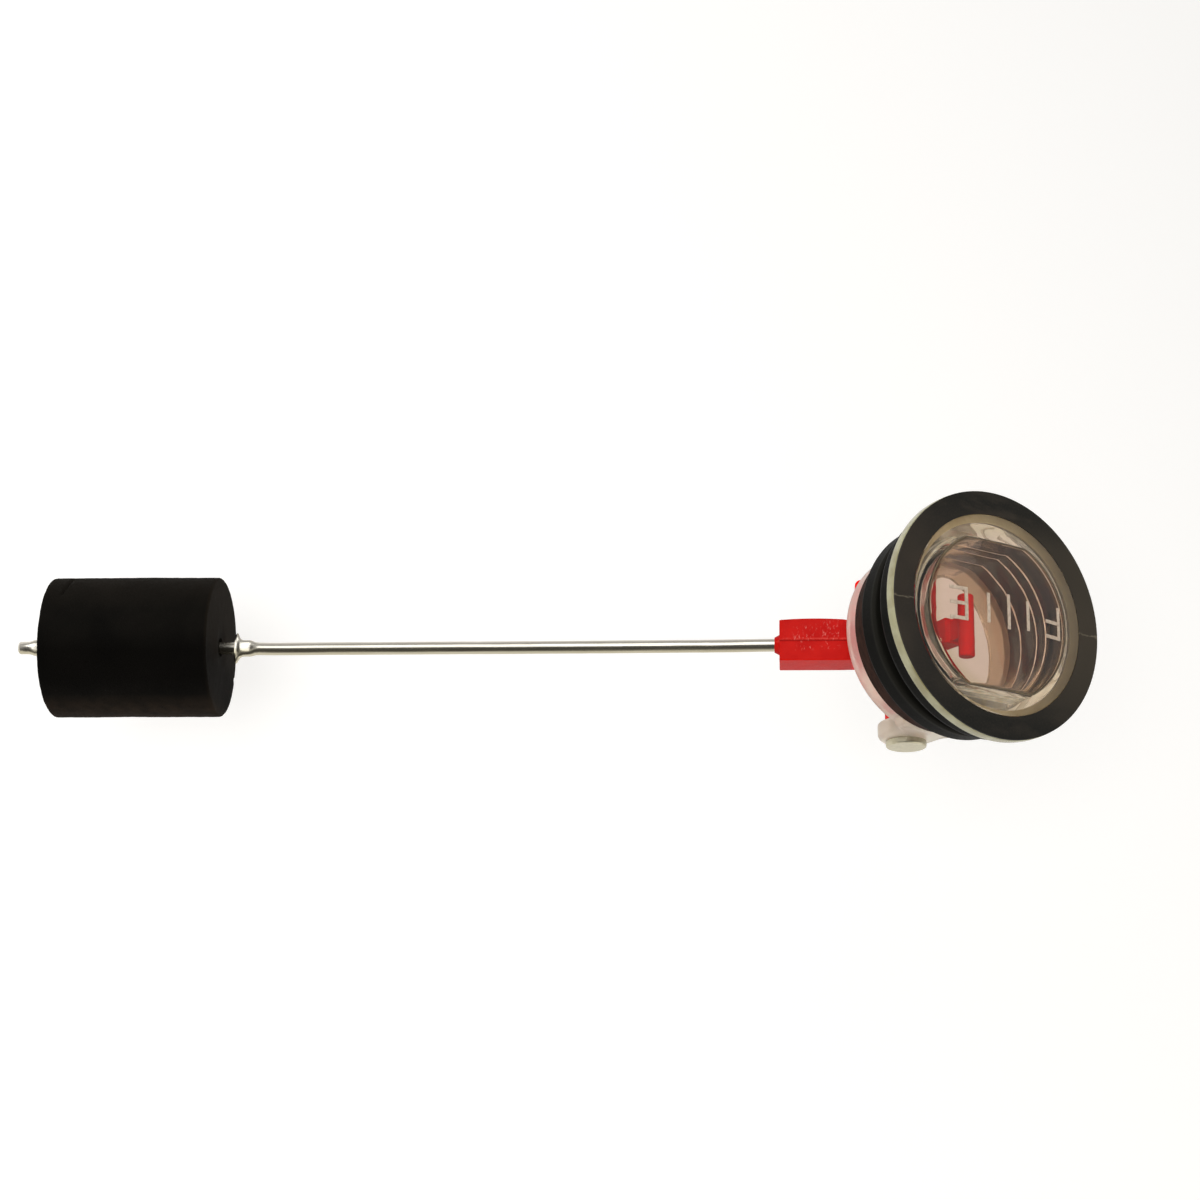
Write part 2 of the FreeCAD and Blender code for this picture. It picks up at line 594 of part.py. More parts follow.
def make_foam_float():
    """Closed-cell foam cylinder that turns and slides a little on the rod."""
    bore = "(Sizes.rod_radius + Sizes.float_clear)"
    rim = "(Sizes.float_radius - Sizes.float_edge)"
    body = revolved("foam_cylinder", "H_Axis", [
        ("-" + FLOAT_END, bore),
        ("-Sizes.float_start", bore),
        ("-Sizes.float_start", rim),
        ("-Sizes.float_start - Sizes.float_edge", "Sizes.float_radius"),
        ("-%s + Sizes.float_edge" % FLOAT_END, "Sizes.float_radius"),
        ("-" + FLOAT_END, rim),
    ])
    rod_frame(body)
    return finish(body, "foam_float")


def pin_frame(obj):
    """Carry a piece turned about local Z to the pivot line, with local +Z along the row's +Y."""
    place(obj, z="-Sizes.pivot_drop", axis=X_AXIS, angle="-90")


def make_pivot_pin():
    """Headed pin through both lugs and the hub, its head on the -Y side."""
    top = "(%s + Sizes.head_thick)" % HEAD_SEAT
    tail = "(%s + Sizes.pin_tail)" % CLIP_TOP
    rim = "(Sizes.head_radius - Sizes.head_round)"
    shoulder = "(-%s + Sizes.head_round)" % top
    body = revolved("pin_turned", "V_Axis", [
        ("0", "-" + top),
        (rim, "-" + top, rim, shoulder),
        ("Sizes.head_radius", shoulder),
        ("Sizes.head_radius", "-" + HEAD_SEAT),
        ("Sizes.pin_radius", "-" + HEAD_SEAT),
        ("Sizes.pin_radius", "%s - Sizes.pin_bevel" % tail),
        ("Sizes.pin_radius - Sizes.pin_bevel", tail),
        ("0", tail),
    ])
    pin_frame(body)
    return finish(body, "pivot_pin")


def make_pin_clip():
    """Dished push-on washer that holds the tail of the pin."""
    inner = "(Sizes.pin_radius + Sizes.clip_fit)"
    body = revolved("clip_washer", "V_Axis", [
        (inner, "%s + Sizes.clip_dish" % HEAD_SEAT),
        ("Sizes.clip_radius", HEAD_SEAT),
        ("Sizes.clip_radius", "%s + Sizes.clip_thick" % HEAD_SEAT),
        (inner, CLIP_TOP),
    ])
    pin_frame(body)
    return finish(body, "pin_clip")


def stroke(name, x, y, x_span, y_span):
    """One straight stroke of the dial, centred at x and y, tall enough to pass the dome."""
    obj = primitive("Box", name, Length=x_span, Width=y_span, Height="2 * Sizes.dome_rise")
    place(obj, x="%s - (%s) / 2" % (x, x_span), y="%s - (%s) / 2" % (y, y_span), z=WINDOW_BASE)
    return obj


def letter(name, upright, bars):
    """A letter with its upright on the +X side, read with the float to the reader's right."""
    parts = [stroke(name + "_upright", upright, "0", "Sizes.mark_stroke",
                    "2 * Sizes.letter_half + Sizes.mark_stroke")]
    for number, height in enumerate(bars):
        parts.append(stroke("%s_bar_%d" % (name, number), "(%s - Sizes.letter_width / 2)" % upright,
                            "%d * Sizes.letter_half" % height, "Sizes.letter_width", "Sizes.mark_stroke"))
    return parts


def make_dial_marks():
    """E, three ticks and F: strokes that follow the dome and stand just proud of it."""
    strokes = letter("empty", "Sizes.empty_place", (-1, 0, 1)) + letter("full", "Sizes.full_place", (-1, 0))
    ticks = (("quarter", -1, "Sizes.tick_half"), ("half", 0, "Sizes.tick_middle_half"),
             ("three_quarter", 1, "Sizes.tick_half"))
    for name, number, half in ticks:
        spot = "(Sizes.tick_middle + %d * Sizes.tick_spacing)" % number
        strokes.append(stroke("tick_" + name, spot, "0", "Sizes.mark_stroke", "2 * %s" % half))
    skin = primitive("Sphere", "mark_outside", Radius="%s + Sizes.mark_height" % DOME_SPHERE)
    dome = primitive("Sphere", "mark_inside", Radius=DOME_SPHERE)
    for ball in (skin, dome):
        place(ball, z=DOME_CENTRE)
    raised = boolean("Common", "marks_below_skin", fuse("mark_strokes", strokes), skin)
    return finish(boolean("Cut", "marks_on_dome", raised, dome), "dial_marks")


MAKERS = [make_lens_body, make_face_ring, make_grommet, make_float_lever, make_float_rod,
          make_foam_float, make_pivot_pin, make_pin_clip, make_dial_marks]


def check(pieces):
    """Stop on any feature that failed and on any piece with no sound shape."""
    for obj in doc.Objects:
        if "Invalid" in obj.State or "Error" in obj.State:
            raise RuntimeError("%s did not build: %s" % (obj.Name, obj.State))
    for piece in pieces:
        shape = piece.Shape
        if shape.isNull() or not shape.isValid() or not shape.Solids:
            raise RuntimeError("%s has no sound solid" % piece.Label)


def write(pieces):
    """Write each piece to its own file, named after its label."""
    os.makedirs("parts", exist_ok=True)
    for piece in pieces:
        piece.Shape.exportStep(os.path.join("parts", piece.Label + ".step"))
        print("%-12s %d solid(s) %9.1f mm3" % (piece.Label, len(piece.Shape.Solids),
                                               piece.Shape.Volume))


pieces = [make() for make in MAKERS]
doc.recompute()
check(pieces)
write(pieces)
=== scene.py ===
import math

import bmesh
import bpy
from mathutils import Matrix, Vector, noise


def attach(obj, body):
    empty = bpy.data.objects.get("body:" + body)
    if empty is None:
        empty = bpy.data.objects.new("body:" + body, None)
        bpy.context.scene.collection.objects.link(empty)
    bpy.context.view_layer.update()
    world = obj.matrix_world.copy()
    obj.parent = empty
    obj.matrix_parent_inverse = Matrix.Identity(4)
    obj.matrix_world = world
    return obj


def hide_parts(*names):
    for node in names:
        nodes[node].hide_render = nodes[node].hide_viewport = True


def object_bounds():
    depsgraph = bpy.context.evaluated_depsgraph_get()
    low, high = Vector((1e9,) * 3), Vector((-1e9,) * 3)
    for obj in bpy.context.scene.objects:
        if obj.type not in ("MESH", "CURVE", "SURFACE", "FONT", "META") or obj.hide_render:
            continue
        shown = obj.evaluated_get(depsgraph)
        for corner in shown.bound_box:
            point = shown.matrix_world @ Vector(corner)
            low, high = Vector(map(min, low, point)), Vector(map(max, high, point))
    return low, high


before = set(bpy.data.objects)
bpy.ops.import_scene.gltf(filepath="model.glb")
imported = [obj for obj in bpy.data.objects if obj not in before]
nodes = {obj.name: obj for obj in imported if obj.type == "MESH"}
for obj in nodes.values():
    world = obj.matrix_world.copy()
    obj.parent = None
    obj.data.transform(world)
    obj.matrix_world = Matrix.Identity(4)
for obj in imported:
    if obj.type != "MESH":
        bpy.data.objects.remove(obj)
CAD_BOX = [list(corner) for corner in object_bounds()]
scene = bpy.context.scene
MM = 0.001

# The photograph's camera, in metres in the row frame
CAMERA_SPOT = Vector((-0.35757, -0.17812, 0.43593))
CAMERA_RIGHT = Vector((0.8622, 0.0188, 0.5062))
CAMERA_UP = Vector((-0.1717, 0.9510, 0.2572))
CAMERA_BACK = Vector((-0.4766, -0.3086, 0.8232))
FOCAL_PIXELS = 2502.5
FRAME_PIXELS = 1200
SENSOR_WIDTH = 36.0

# The studio: the way from which little light comes, and the floor's size and depth in metres.
# The floor lies far enough down for the float to hang free at the lever's lower limit.
DARK_SIDE = (-0.436, -0.674, 0.589)
FLOOR_HALF = 3.0
FLOOR_GAP = 0.076
FLOOR_GLOW = 0.3

# The lever's pivot and the line of the rod, in the source's millimetres
PIVOT_Z = -32.85
ARM_ANGLE = math.radians(34.7)
ARM_OFFSET = 5.6
ROD_WAY = Vector((-math.cos(ARM_ANGLE), 0, -math.sin(ARM_ANGLE)))
ROD_OVER = Vector((-math.sin(ARM_ANGLE), 0, math.cos(ARM_ANGLE)))
ROD_ROOT = Vector((0, 0, PIVOT_Z)) + ROD_OVER * ARM_OFFSET


def srgb(red, green, blue):
    """A colour as it is seen, 0 to 255, as the linear colour that nodes take."""
    linear = []
    for value in (red, green, blue):
        v = value / 255
        linear.append(v / 12.92 if v <= 0.04045 else ((v + 0.055) / 1.055) ** 2.4)
    return tuple(linear) + (1.0,)


# Camera, light and floor


def place_camera():
    data = bpy.data.cameras.new("photo_camera")
    data.sensor_width = SENSOR_WIDTH
    data.lens = SENSOR_WIDTH * FOCAL_PIXELS / FRAME_PIXELS
    camera = bpy.data.objects.new("photo_camera", data)
    scene.collection.objects.link(camera)
    turn = Matrix((CAMERA_RIGHT, CAMERA_UP, CAMERA_BACK)).transposed()
    camera.matrix_world = Matrix.Translation(CAMERA_SPOT) @ turn.to_4x4()
    scene.camera = camera


def lamp(name, spot, target, size, power, glossy=True):
    data = bpy.data.lights.new(name, "AREA")
    data.shape = "DISK"
    data.size = size
    data.energy = power
    light = bpy.data.objects.new(name, data)
    scene.collection.objects.link(light)
    light.location = spot
    light.rotation_euler = (Vector(target) - Vector(spot)).to_track_quat("-Z", "Y").to_euler()
    light.visible_glossy = glossy


class Graph:
    """Short calls for building a node tree."""

    def __init__(self, owner):
        owner.use_nodes = True
        self.tree = owner.node_tree

    def node(self, kind, **settings):
        made = self.tree.nodes.new("ShaderNode" + kind)
        for name, value in settings.items():
            setattr(made, name, value)
        return made

    def wire(self, value, socket):
        if isinstance(value, bpy.types.NodeSocket):
            self.tree.links.new(value, socket)
        else:
            socket.default_value = value

    def math(self, operation, first, second=0.0):
        made = self.node("Math", operation=operation)
        self.wire(first, made.inputs[0])
        self.wire(second, made.inputs[1])
        return made.outputs[0]

    def place(self, scale=(1, 1, 1), shift=(0, 0, 0), turn=(0, 0, 0)):
        """Object coordinates, in millimetres, after a shift, a turn and a stretch."""
        coords = self.node("TexCoord")
        moved = self.node("Mapping", vector_type="POINT")
        unit = self.node("VectorMath", operation="SCALE")
        self.wire(coords.outputs["Object"], unit.inputs[0])
        unit.inputs["Scale"].default_value = 1 / MM
        self.wire(unit.outputs[0], moved.inputs["Vector"])
        moved.inputs["Location"].default_value = shift
        moved.inputs["Rotation"].default_value = turn
        stretch = self.node("VectorMath", operation="MULTIPLY")
        self.wire(moved.outputs[0], stretch.inputs[0])
        stretch.inputs[1].default_value = scale
        return stretch.outputs[0]

    def arm_place(self, scale=(1, 1, 1)):
        """Millimetres in the arm's own directions from the pivot: x back along the rod, y, z over it."""
        shift = (-math.sin(ARM_ANGLE) * PIVOT_Z, 0, -math.cos(ARM_ANGLE) * PIVOT_Z)
        return self.place(scale=scale, shift=shift, turn=(0, ARM_ANGLE, 0))

    def both(self, *masks):
        """The product of some masks."""
        made = masks[0]
        for mask in masks[1:]:
            made = self.math("MULTIPLY", made, mask)
        return made

    def noise(self, where, scale, detail=3.0, rough=0.5):
        made = self.node("TexNoise")
        self.wire(where, made.inputs["Vector"])
        made.inputs["Scale"].default_value = scale
        made.inputs["Detail"].default_value = detail
        made.inputs["Roughness"].default_value = rough
        return made.outputs["Fac"]

    def cells(self, where, scale):
        made = self.node("TexVoronoi", feature="F1")
        self.wire(where, made.inputs["Vector"])
        made.inputs["Scale"].default_value = scale
        return made.outputs["Distance"]

    def span(self, value, low, high, to_low=0.0, to_high=1.0):
        """to_low where the value is low, to_high where it is high, in a straight run between them."""
        made = self.node("MapRange", clamp=True)
        self.wire(value, made.inputs["Value"])
        made.inputs["From Min"].default_value = low
        made.inputs["From Max"].default_value = high
        made.inputs["To Min"].default_value = to_low
        made.inputs["To Max"].default_value = to_high
        return made.outputs["Result"]

    def blend(self, share, first, second):
        made = self.node("Mix", data_type="RGBA")
        self.wire(share, made.inputs["Factor"])
        self.wire(first, made.inputs[6])
        self.wire(second, made.inputs[7])
        return made.outputs[2]

    def parts(self, where):
        made = self.node("SeparateXYZ")
        self.wire(where, made.inputs[0])
        return made.outputs

    def band(self, value, centre, half, soft):
        """1 inside centre plus or minus half, falling to 0 over soft."""
        off = self.math("ABSOLUTE", self.math("SUBTRACT", value, centre))
        return self.span(off, half, half + soft, 1.0, 0.0)

    def bump(self, height, distance, strength=1.0, after=None):
        made = self.node("Bump")
        made.inputs["Strength"].default_value = strength
        made.inputs["Distance"].default_value = distance
        self.wire(height, made.inputs["Height"])
        if after is not None:
            self.wire(after, made.inputs["Normal"])
        return made.outputs["Normal"]


def white_where_seen(graph, plain, seen, out):
    """Mix two closures: seen for camera, glossy and transmission rays, plain for the rest."""
    path = graph.node("LightPath")
    either = graph.math("MAXIMUM", path.outputs["Is Camera Ray"], path.outputs["Is Glossy Ray"])
    either = graph.math("MAXIMUM", either, path.outputs["Is Transmission Ray"])
    mix = graph.node("MixShader")
    graph.wire(either, mix.inputs[0])
    graph.wire(plain, mix.inputs[1])
    graph.wire(seen, mix.inputs[2])
    graph.wire(mix.outputs[0], out)


def light_the_room():
    world = bpy.data.worlds.new("studio")
    scene.world = world
    graph = Graph(world)
    graph.tree.nodes.clear()
    out = graph.node("OutputWorld")
    soft = graph.node("Background")
    soft.inputs["Color"].default_value = (1.0, 0.985, 0.96, 1.0)
    # A soft tent of light, darker where the photographer stood, below and beside the camera
    way = graph.node("VectorMath", operation="DOT_PRODUCT")
    graph.wire(graph.node("TexCoord").outputs["Generated"], way.inputs[0])
    way.inputs[1].default_value = DARK_SIDE
    graph.wire(graph.span(way.outputs["Value"], 0.62, 0.93, 0.56, 0.10), soft.inputs["Strength"])
    white = graph.node("Background")
    white.inputs["Color"].default_value = (1.0, 1.0, 1.0, 1.0)
    white.inputs["Strength"].default_value = 1.0
    path = graph.node("LightPath")
    mix = graph.node("MixShader")
    graph.wire(path.outputs["Is Camera Ray"], mix.inputs[0])
    graph.wire(soft.outputs[0], mix.inputs[1])
    graph.wire(white.outputs[0], mix.inputs[2])
    graph.wire(mix.outputs[0], out.inputs["Surface"])
    lamp("key", (-0.70, 0.42, 0.84), (-0.07, 0, -0.06), 1.0, 4.5)
    lamp("fill", (0.55, -0.85, 0.30), (-0.05, 0, -0.06), 0.8, 2.4)
    lamp("front", (-0.66, -0.28, 0.80), (-0.05, 0, -0.04), 0.26, 4.2, glossy=False)


def lay_floor():
    low = CAD_BOX[0][2]
    half = FLOOR_HALF
    mesh = bpy.data.meshes.new("studio_floor")
    mesh.from_pydata([(-half, -half, 0), (half, -half, 0), (half, half, 0), (-half, half, 0)],
                     [], [(0, 1, 2, 3)])
    floor = bpy.data.objects.new("studio_floor", mesh)
    floor.location = (-0.07, 0, low - FLOOR_GAP)
    scene.collection.objects.link(floor)
    material = bpy.data.materials.new("floor_white")
    graph = Graph(material)
    graph.tree.nodes.clear()
    out = graph.node("OutputMaterial")
    paper = graph.node("BsdfDiffuse")
    paper.inputs["Color"].default_value = (0.86, 0.85, 0.83, 1.0)
    glow = graph.node("Emission")
    glow.inputs["Strength"].default_value = FLOOR_GLOW
    lit = graph.node("AddShader")
    graph.wire(paper.outputs[0], lit.inputs[0])
    graph.wire(glow.outputs[0], lit.inputs[1])
    white_where_seen(graph, paper.outputs[0], lit.outputs[0], out.inputs["Surface"])
    mesh.materials.append(material)


# Materials. Lengths in them are millimetres, and heights of bumps are metres.

PLASTIC_IOR = 1.49


def new_material(name, colour, **sockets):
    """A material, the graph of its nodes and its shader with these sockets set."""
    material = bpy.data.materials.new(name)
    graph = Graph(material)
    shader = material.node_tree.nodes["Principled BSDF"]
    shader.inputs["Base Color"].default_value = colour
    for socket, value in sockets.items():
        shader.inputs[socket.replace("_", " ")].default_value = value
    return material, graph, shader


def let_light_in(graph, shader, share):
    """Clear moulding passes that share of a lamp's light on to what lies inside it."""
    path = graph.node("LightPath")
    kept = graph.math("MULTIPLY", path.outputs["Is Shadow Ray"], share)
    graph.wire(graph.math("SUBTRACT", 1.0, kept), shader.inputs["Alpha"])


def clear_plastic():
    material, graph, shader = new_material(
        "clear_plastic", (0.58, 0.47, 0.38, 1), Roughness=0.02, Transmission_Weight=1.0, IOR=PLASTIC_IOR)
    where = graph.place()
    ripple = graph.noise(where, 0.12, 2.0)
    graph.wire(graph.bump(ripple, 0.0002, 0.2), shader.inputs["Normal"])
    haze = graph.span(graph.noise(where, 0.5, 4.0), 0.45, 0.8, 0.012, 0.05)
    graph.wire(haze, shader.inputs["Roughness"])
    # Deeper in colour near the rim, where the moulding is thick. The tan tint is deeper than the plastic's
    # own: in part painted shade, standing for the shaded floor seen through the window.
    reach = graph.node("VectorMath", operation="LENGTH")
    graph.wire(graph.place(scale=(1, 1, 0)), reach.inputs[0])
    thick = graph.span(reach.outputs["Value"], 17.0, 20.5)
    deep = graph.blend(thick, (0.64, 0.47, 0.37, 1), (0.49, 0.375, 0.245, 1))
    scattered = graph.node("LightPath").outputs["Is Diffuse Ray"]
    tint = graph.blend(scattered, deep, (0.95, 0.93, 0.9, 1))
    graph.wire(tint, shader.inputs["Base Color"])
    let_light_in(graph, shader, 0.92)
    return material


def milky_plastic():
    material, graph, shader = new_material(
        "milky_plastic", srgb(228, 208, 190), Roughness=0.3, Transmission_Weight=0.6, IOR=PLASTIC_IOR)
    where = graph.place()
    cloud = graph.noise(where, 0.35, 3.0)
    x = graph.parts(where)[0]
    # Painted red light: pinker towards the arm, whose red shines through it
    cream = graph.span(x, -24.0, -3.0)
    tone = graph.blend(cream, srgb(240, 174, 166), srgb(232, 224, 202))
    graph.wire(graph.blend(graph.span(cloud, 0.35, 0.7, 0.0, 0.5), tone, srgb(238, 222, 208)),
               shader.inputs["Base Color"])
    streak = graph.noise(graph.place(scale=(1, 1, 0.12)), 1.4, 3.0)
    graph.wire(graph.bump(streak, 0.0001, 0.4), shader.inputs["Normal"])
    let_light_in(graph, shader, 0.75)
    return material


def rim_plastic():
    material, graph, shader = new_material(
        "rim_plastic", srgb(190, 190, 158), Roughness=0.25, Transmission_Weight=0.15, IOR=PLASTIC_IOR,
        Coat_Weight=0.3, Coat_Roughness=0.1)
    where = graph.place()
    cloud = graph.noise(where, 0.16, 2.0)
    tone = graph.blend(graph.span(cloud, 0.4, 0.6), srgb(152, 144, 102), srgb(180, 176, 138))
    fine = graph.noise(where, 1.1, 3.0)
    graph.wire(graph.blend(graph.span(fine, 0.5, 0.75, 0.0, 0.35), tone, srgb(150, 146, 116)),
               shader.inputs["Base Color"])
    return material


def seat_plastic():
    """The satin face at the root of the barrel, seen through the dome as a tan band."""
    material, graph, shader = new_material(
        "seat_plastic", srgb(220, 206, 176), Roughness=0.5, Transmission_Weight=0.15, IOR=PLASTIC_IOR)
    where = graph.place()
    axes = graph.parts(where)
    x, z = axes[0], axes[2]
    # Painted shade: darker towards +X and below the flange
    cloud = graph.noise(where, 0.11, 2.0)
    tone = graph.blend(graph.span(cloud, 0.4, 0.65), srgb(240, 224, 184), srgb(216, 196, 152))
    tone = graph.blend(graph.span(x, -14.0, 20.0, 0.0, 0.85), tone, srgb(112, 100, 78))
    tone = graph.blend(graph.span(z, -0.2, -1.8), tone, srgb(74, 62, 50))
    fine = graph.noise(where, 1.1, 3.0, 0.5)
    graph.wire(graph.blend(graph.span(fine, 0.5, 0.75, 0.0, 0.25), tone, srgb(150, 132, 100)),
               shader.inputs["Base Color"])
    let_light_in(graph, shader, 0.5)
    return material


def step_highlight():
    """The edges inside the barrel, painted pale: painted highlights for the lines of light that the moulded
    steps catch.
    """
    material, graph, shader = new_material(
        "step_highlight", srgb(232, 224, 206), Roughness=0.4, IOR=PLASTIC_IOR)
    fine = graph.noise(graph.place(), 0.5, 2.0)
    graph.wire(graph.blend(graph.span(fine, 0.4, 0.65), srgb(255, 252, 242), srgb(236, 226, 204)),
               shader.inputs["Base Color"])
    let_light_in(graph, shader, 0.5)
    return material


def ring_black():
    material, graph, shader = new_material(
        "ring_black", srgb(34, 31, 27), Roughness=0.5, Specular_IOR_Level=0.16)
    where = graph.place()
    x, y = graph.parts(where)[:2]
    soft = graph.noise(where, 0.07, 2.0)
    tone = graph.blend(graph.span(soft, 0.35, 0.65), srgb(34, 31, 27), srgb(48, 42, 35))
    # Painted light: lighter towards +X and darker towards -Y, and dark patches near |y| 19 to 26 that are
    # painted reflections of something dark
    side = graph.span(x, -5.0, 29.0)
    tone = graph.blend(graph.math("MULTIPLY", side, 0.7), tone, srgb(62, 56, 46))
    tone = graph.blend(graph.span(y, -8.0, -27.0, 0.0, 0.7), tone, srgb(24, 23, 20))
    dark_reflection_shape = graph.noise(graph.place(scale=(0.5, 1.4, 1)), 0.22, 2.0)
    dark_reflection = graph.both(graph.span(graph.math("ABSOLUTE", y), 19.0, 26.0), graph.span(dark_reflection_shape, 0.36, 0.52))
    tone = graph.blend(graph.math("MULTIPLY", dark_reflection, 0.85), tone, srgb(20, 20, 17))
    grain = graph.noise(where, 2.2, 4.0, 0.6)
    tone = graph.blend(graph.span(grain, 0.45, 0.7, 0.0, 0.25), tone, srgb(62, 56, 48))
    # A knit line across the ring, a little wavy and broken
    wave = graph.span(graph.noise(where, 0.8, 2.0), 0.3, 0.7, 0.2, 0.8)
    breaks = graph.span(graph.noise(where, 1.5, 2.0), 0.35, 0.55, 0.35, 1.0)
    knit = graph.both(graph.band(graph.math("ADD", y, wave), 0.0, 0.06, 0.22), breaks)
    tone = graph.blend(graph.math("MULTIPLY", knit, 0.42), tone, srgb(132, 122, 104))
    graph.wire(tone, shader.inputs["Base Color"])
    graph.wire(graph.span(grain, 0.3, 0.7, 0.44, 0.6), shader.inputs["Roughness"])
    graph.wire(graph.bump(grain, 0.00005, 0.5), shader.inputs["Normal"])
    return material


def rubber_black():
    material, graph, shader = new_material(
        "rubber_black", srgb(12, 11, 9), Roughness=0.55, Specular_IOR_Level=0.06)
    where = graph.place()
    z = graph.parts(where)[2]
    cloud = graph.noise(where, 0.15, 3.0)
    tone = graph.blend(graph.span(cloud, 0.35, 0.7), srgb(7, 7, 5), srgb(16, 15, 12))
    streak = graph.noise(graph.place(scale=(1, 1, 3)), 0.35, 3.0)
    # Painted highlight: a lighter band round the grommet at z -10.3, along the ridge by the groove
    tone = graph.blend(graph.band(z, -10.3, 0.4, 0.7), tone, srgb(30, 29, 25))
    # Painted reflection and shade: the sleeve below the foot is painted brown, most at its lower end and
    # fading towards the foot above
    tone = graph.blend(graph.both(graph.span(z, -15.4, -19.0), graph.span(streak, 0.35, 0.6, 0.5, 1.0)),
                       tone, srgb(56, 36, 29))
    dust = graph.cells(where, 0.7)
    tone = graph.blend(graph.span(dust, 0.0, 0.09, 0.3, 0.0), tone, srgb(60, 56, 48))
    graph.wire(tone, shader.inputs["Base Color"])
    grain = graph.noise(where, 3.0, 4.0, 0.6)
    graph.wire(graph.span(grain, 0.3, 0.75, 0.48, 0.66), shader.inputs["Roughness"])
    graph.wire(graph.bump(grain, 0.00006, 0.5), shader.inputs["Normal"])
    return material


def red_plastic():
    material, graph, shader = new_material(
        "red_plastic", srgb(197, 16, 9), Roughness=0.5, Specular_IOR_Level=0.08)
    where = graph.arm_place()
    x, y, z = graph.parts(where)
    cloud = graph.noise(where, 0.2, 3.0)
    tone = graph.blend(graph.span(cloud, 0.35, 0.7), srgb(188, 11, 6), srgb(203, 23, 15))
    # The hub, the plate and the pointer are painted a brighter red than the arm block: painted light, for the
    # light lost inside the dome
    block = graph.span(x, -12.6, -13.4)
    tone = graph.blend(block, srgb(236, 18, 8), tone)
    # The block: painted light on its side face, lighter towards its top edge, a parting line along the middle
    # of its top, and scuffs
    wide = graph.noise(graph.arm_place(), 0.5, 3.0)
    side_face_light = graph.both(block, graph.span(y, -4.72, -4.88), graph.span(wide, 0.3, 0.65, 0.55, 1.0))
    tone = graph.blend(graph.math("MULTIPLY", side_face_light, 0.9), tone,
                       graph.blend(graph.span(z, 1.5, 9.4), srgb(206, 8, 3), srgb(216, 22, 12)))
    top = graph.both(block, graph.span(z, 9.5, 9.7))
    seam = graph.both(top, graph.band(y, -0.12, 0.10, 0.16))
    tone = graph.blend(graph.math("MULTIPLY", seam, 0.85), tone, srgb(150, 6, 4))
    ragged = graph.span(graph.noise(where, 0.9, 3.0), 0.42, 0.6)
    lip = graph.both(block, graph.band(y, 0.32, 0.1, 0.25), ragged)
    tone = graph.blend(graph.math("MULTIPLY", lip, 0.5), tone, srgb(226, 80, 70))
    back = graph.both(graph.band(x, -24.6, 1.7, 1.2), graph.band(y, 0.6, 2.6, 0.8))
    front = graph.both(graph.band(x, -18.0, 1.6, 1.2), graph.band(y, 1.4, 3.2, 0.8))
    spot = graph.both(graph.band(x, -20.6, 0.6, 0.6), graph.band(y, 3.3, 0.9, 0.6))
    patches = graph.math("MAXIMUM", graph.math("MAXIMUM", back, front), spot)
    lines = graph.noise(graph.arm_place(scale=(2.2, 1.0, 1.0)), 0.85, 5.0, 0.7)
    scuff = graph.both(top, patches, graph.span(lines, 0.56, 0.66))
    light = graph.both(graph.span(graph.noise(where, 1.7, 5.0, 0.7), 0.66, 0.74), 0.3)
    scuff = graph.math("MAXIMUM", scuff, graph.both(top, light))
    tone = graph.blend(graph.math("MULTIPLY", scuff, 0.48), tone, srgb(240, 150, 140))
    graph.wire(tone, shader.inputs["Base Color"])
    grain = graph.noise(where, 2.6, 4.0, 0.55)
    rough = graph.math("ADD", graph.span(grain, 0.3, 0.7, 0.38, 0.5), graph.math("MULTIPLY", scuff, 0.25))
    graph.wire(rough, shader.inputs["Roughness"])
    wave = graph.noise(where, 0.35, 2.0)
    smooth = graph.bump(wave, 0.0002, 0.35)
    line = graph.bump(graph.math("SUBTRACT", 1.0, seam), 0.0001, 0.6, after=smooth)
    graph.wire(graph.bump(grain, 0.00006, 0.4, after=line), shader.inputs["Normal"])
    return material


def rod_steel():
    material, graph, shader = new_material(
        "rod_steel", srgb(206, 202, 192), Roughness=0.2, Metallic=1.0)
    drawn = graph.arm_place(scale=(0.02, 1, 1))
    lines = graph.noise(drawn, 2.6, 3.0)
    y = graph.parts(graph.arm_place())[1]
    stain_and_sheen_noise = graph.noise(graph.arm_place(scale=(0.25, 1, 1)), 0.3, 3.0)
    tone = graph.blend(graph.span(lines, 0.35, 0.7), srgb(200, 195, 184), srgb(216, 212, 202))
    tone = graph.blend(graph.span(stain_and_sheen_noise, 0.5, 0.75, 0.0, 0.35), tone, srgb(172, 163, 140))
    # Painted reflection: the side that hangs low is tinted olive cream
    tone = graph.blend(graph.both(graph.span(y, -0.35, -1.3), 0.6), tone, srgb(172, 162, 128))
    graph.wire(tone, shader.inputs["Base Color"])
    graph.wire(graph.span(stain_and_sheen_noise, 0.3, 0.7, 0.16, 0.26), shader.inputs["Roughness"])
    graph.wire(graph.bump(lines, 0.00002, 0.4), shader.inputs["Normal"])
    return material


def pin_zinc():
    material, graph, shader = new_material(
        "pin_zinc", srgb(192, 184, 160), Roughness=0.34, Metallic=0.85)
    where = graph.place()
    cloud = graph.noise(where, 0.7, 4.0)
    tone = graph.blend(graph.span(cloud, 0.35, 0.7), srgb(178, 170, 142), srgb(204, 197, 174))
    graph.wire(tone, shader.inputs["Base Color"])
    graph.wire(graph.span(cloud, 0.3, 0.7, 0.28, 0.45), shader.inputs["Roughness"])
    graph.wire(graph.bump(graph.noise(where, 2.5, 4.0), 0.00008, 0.5), shader.inputs["Normal"])
    return material


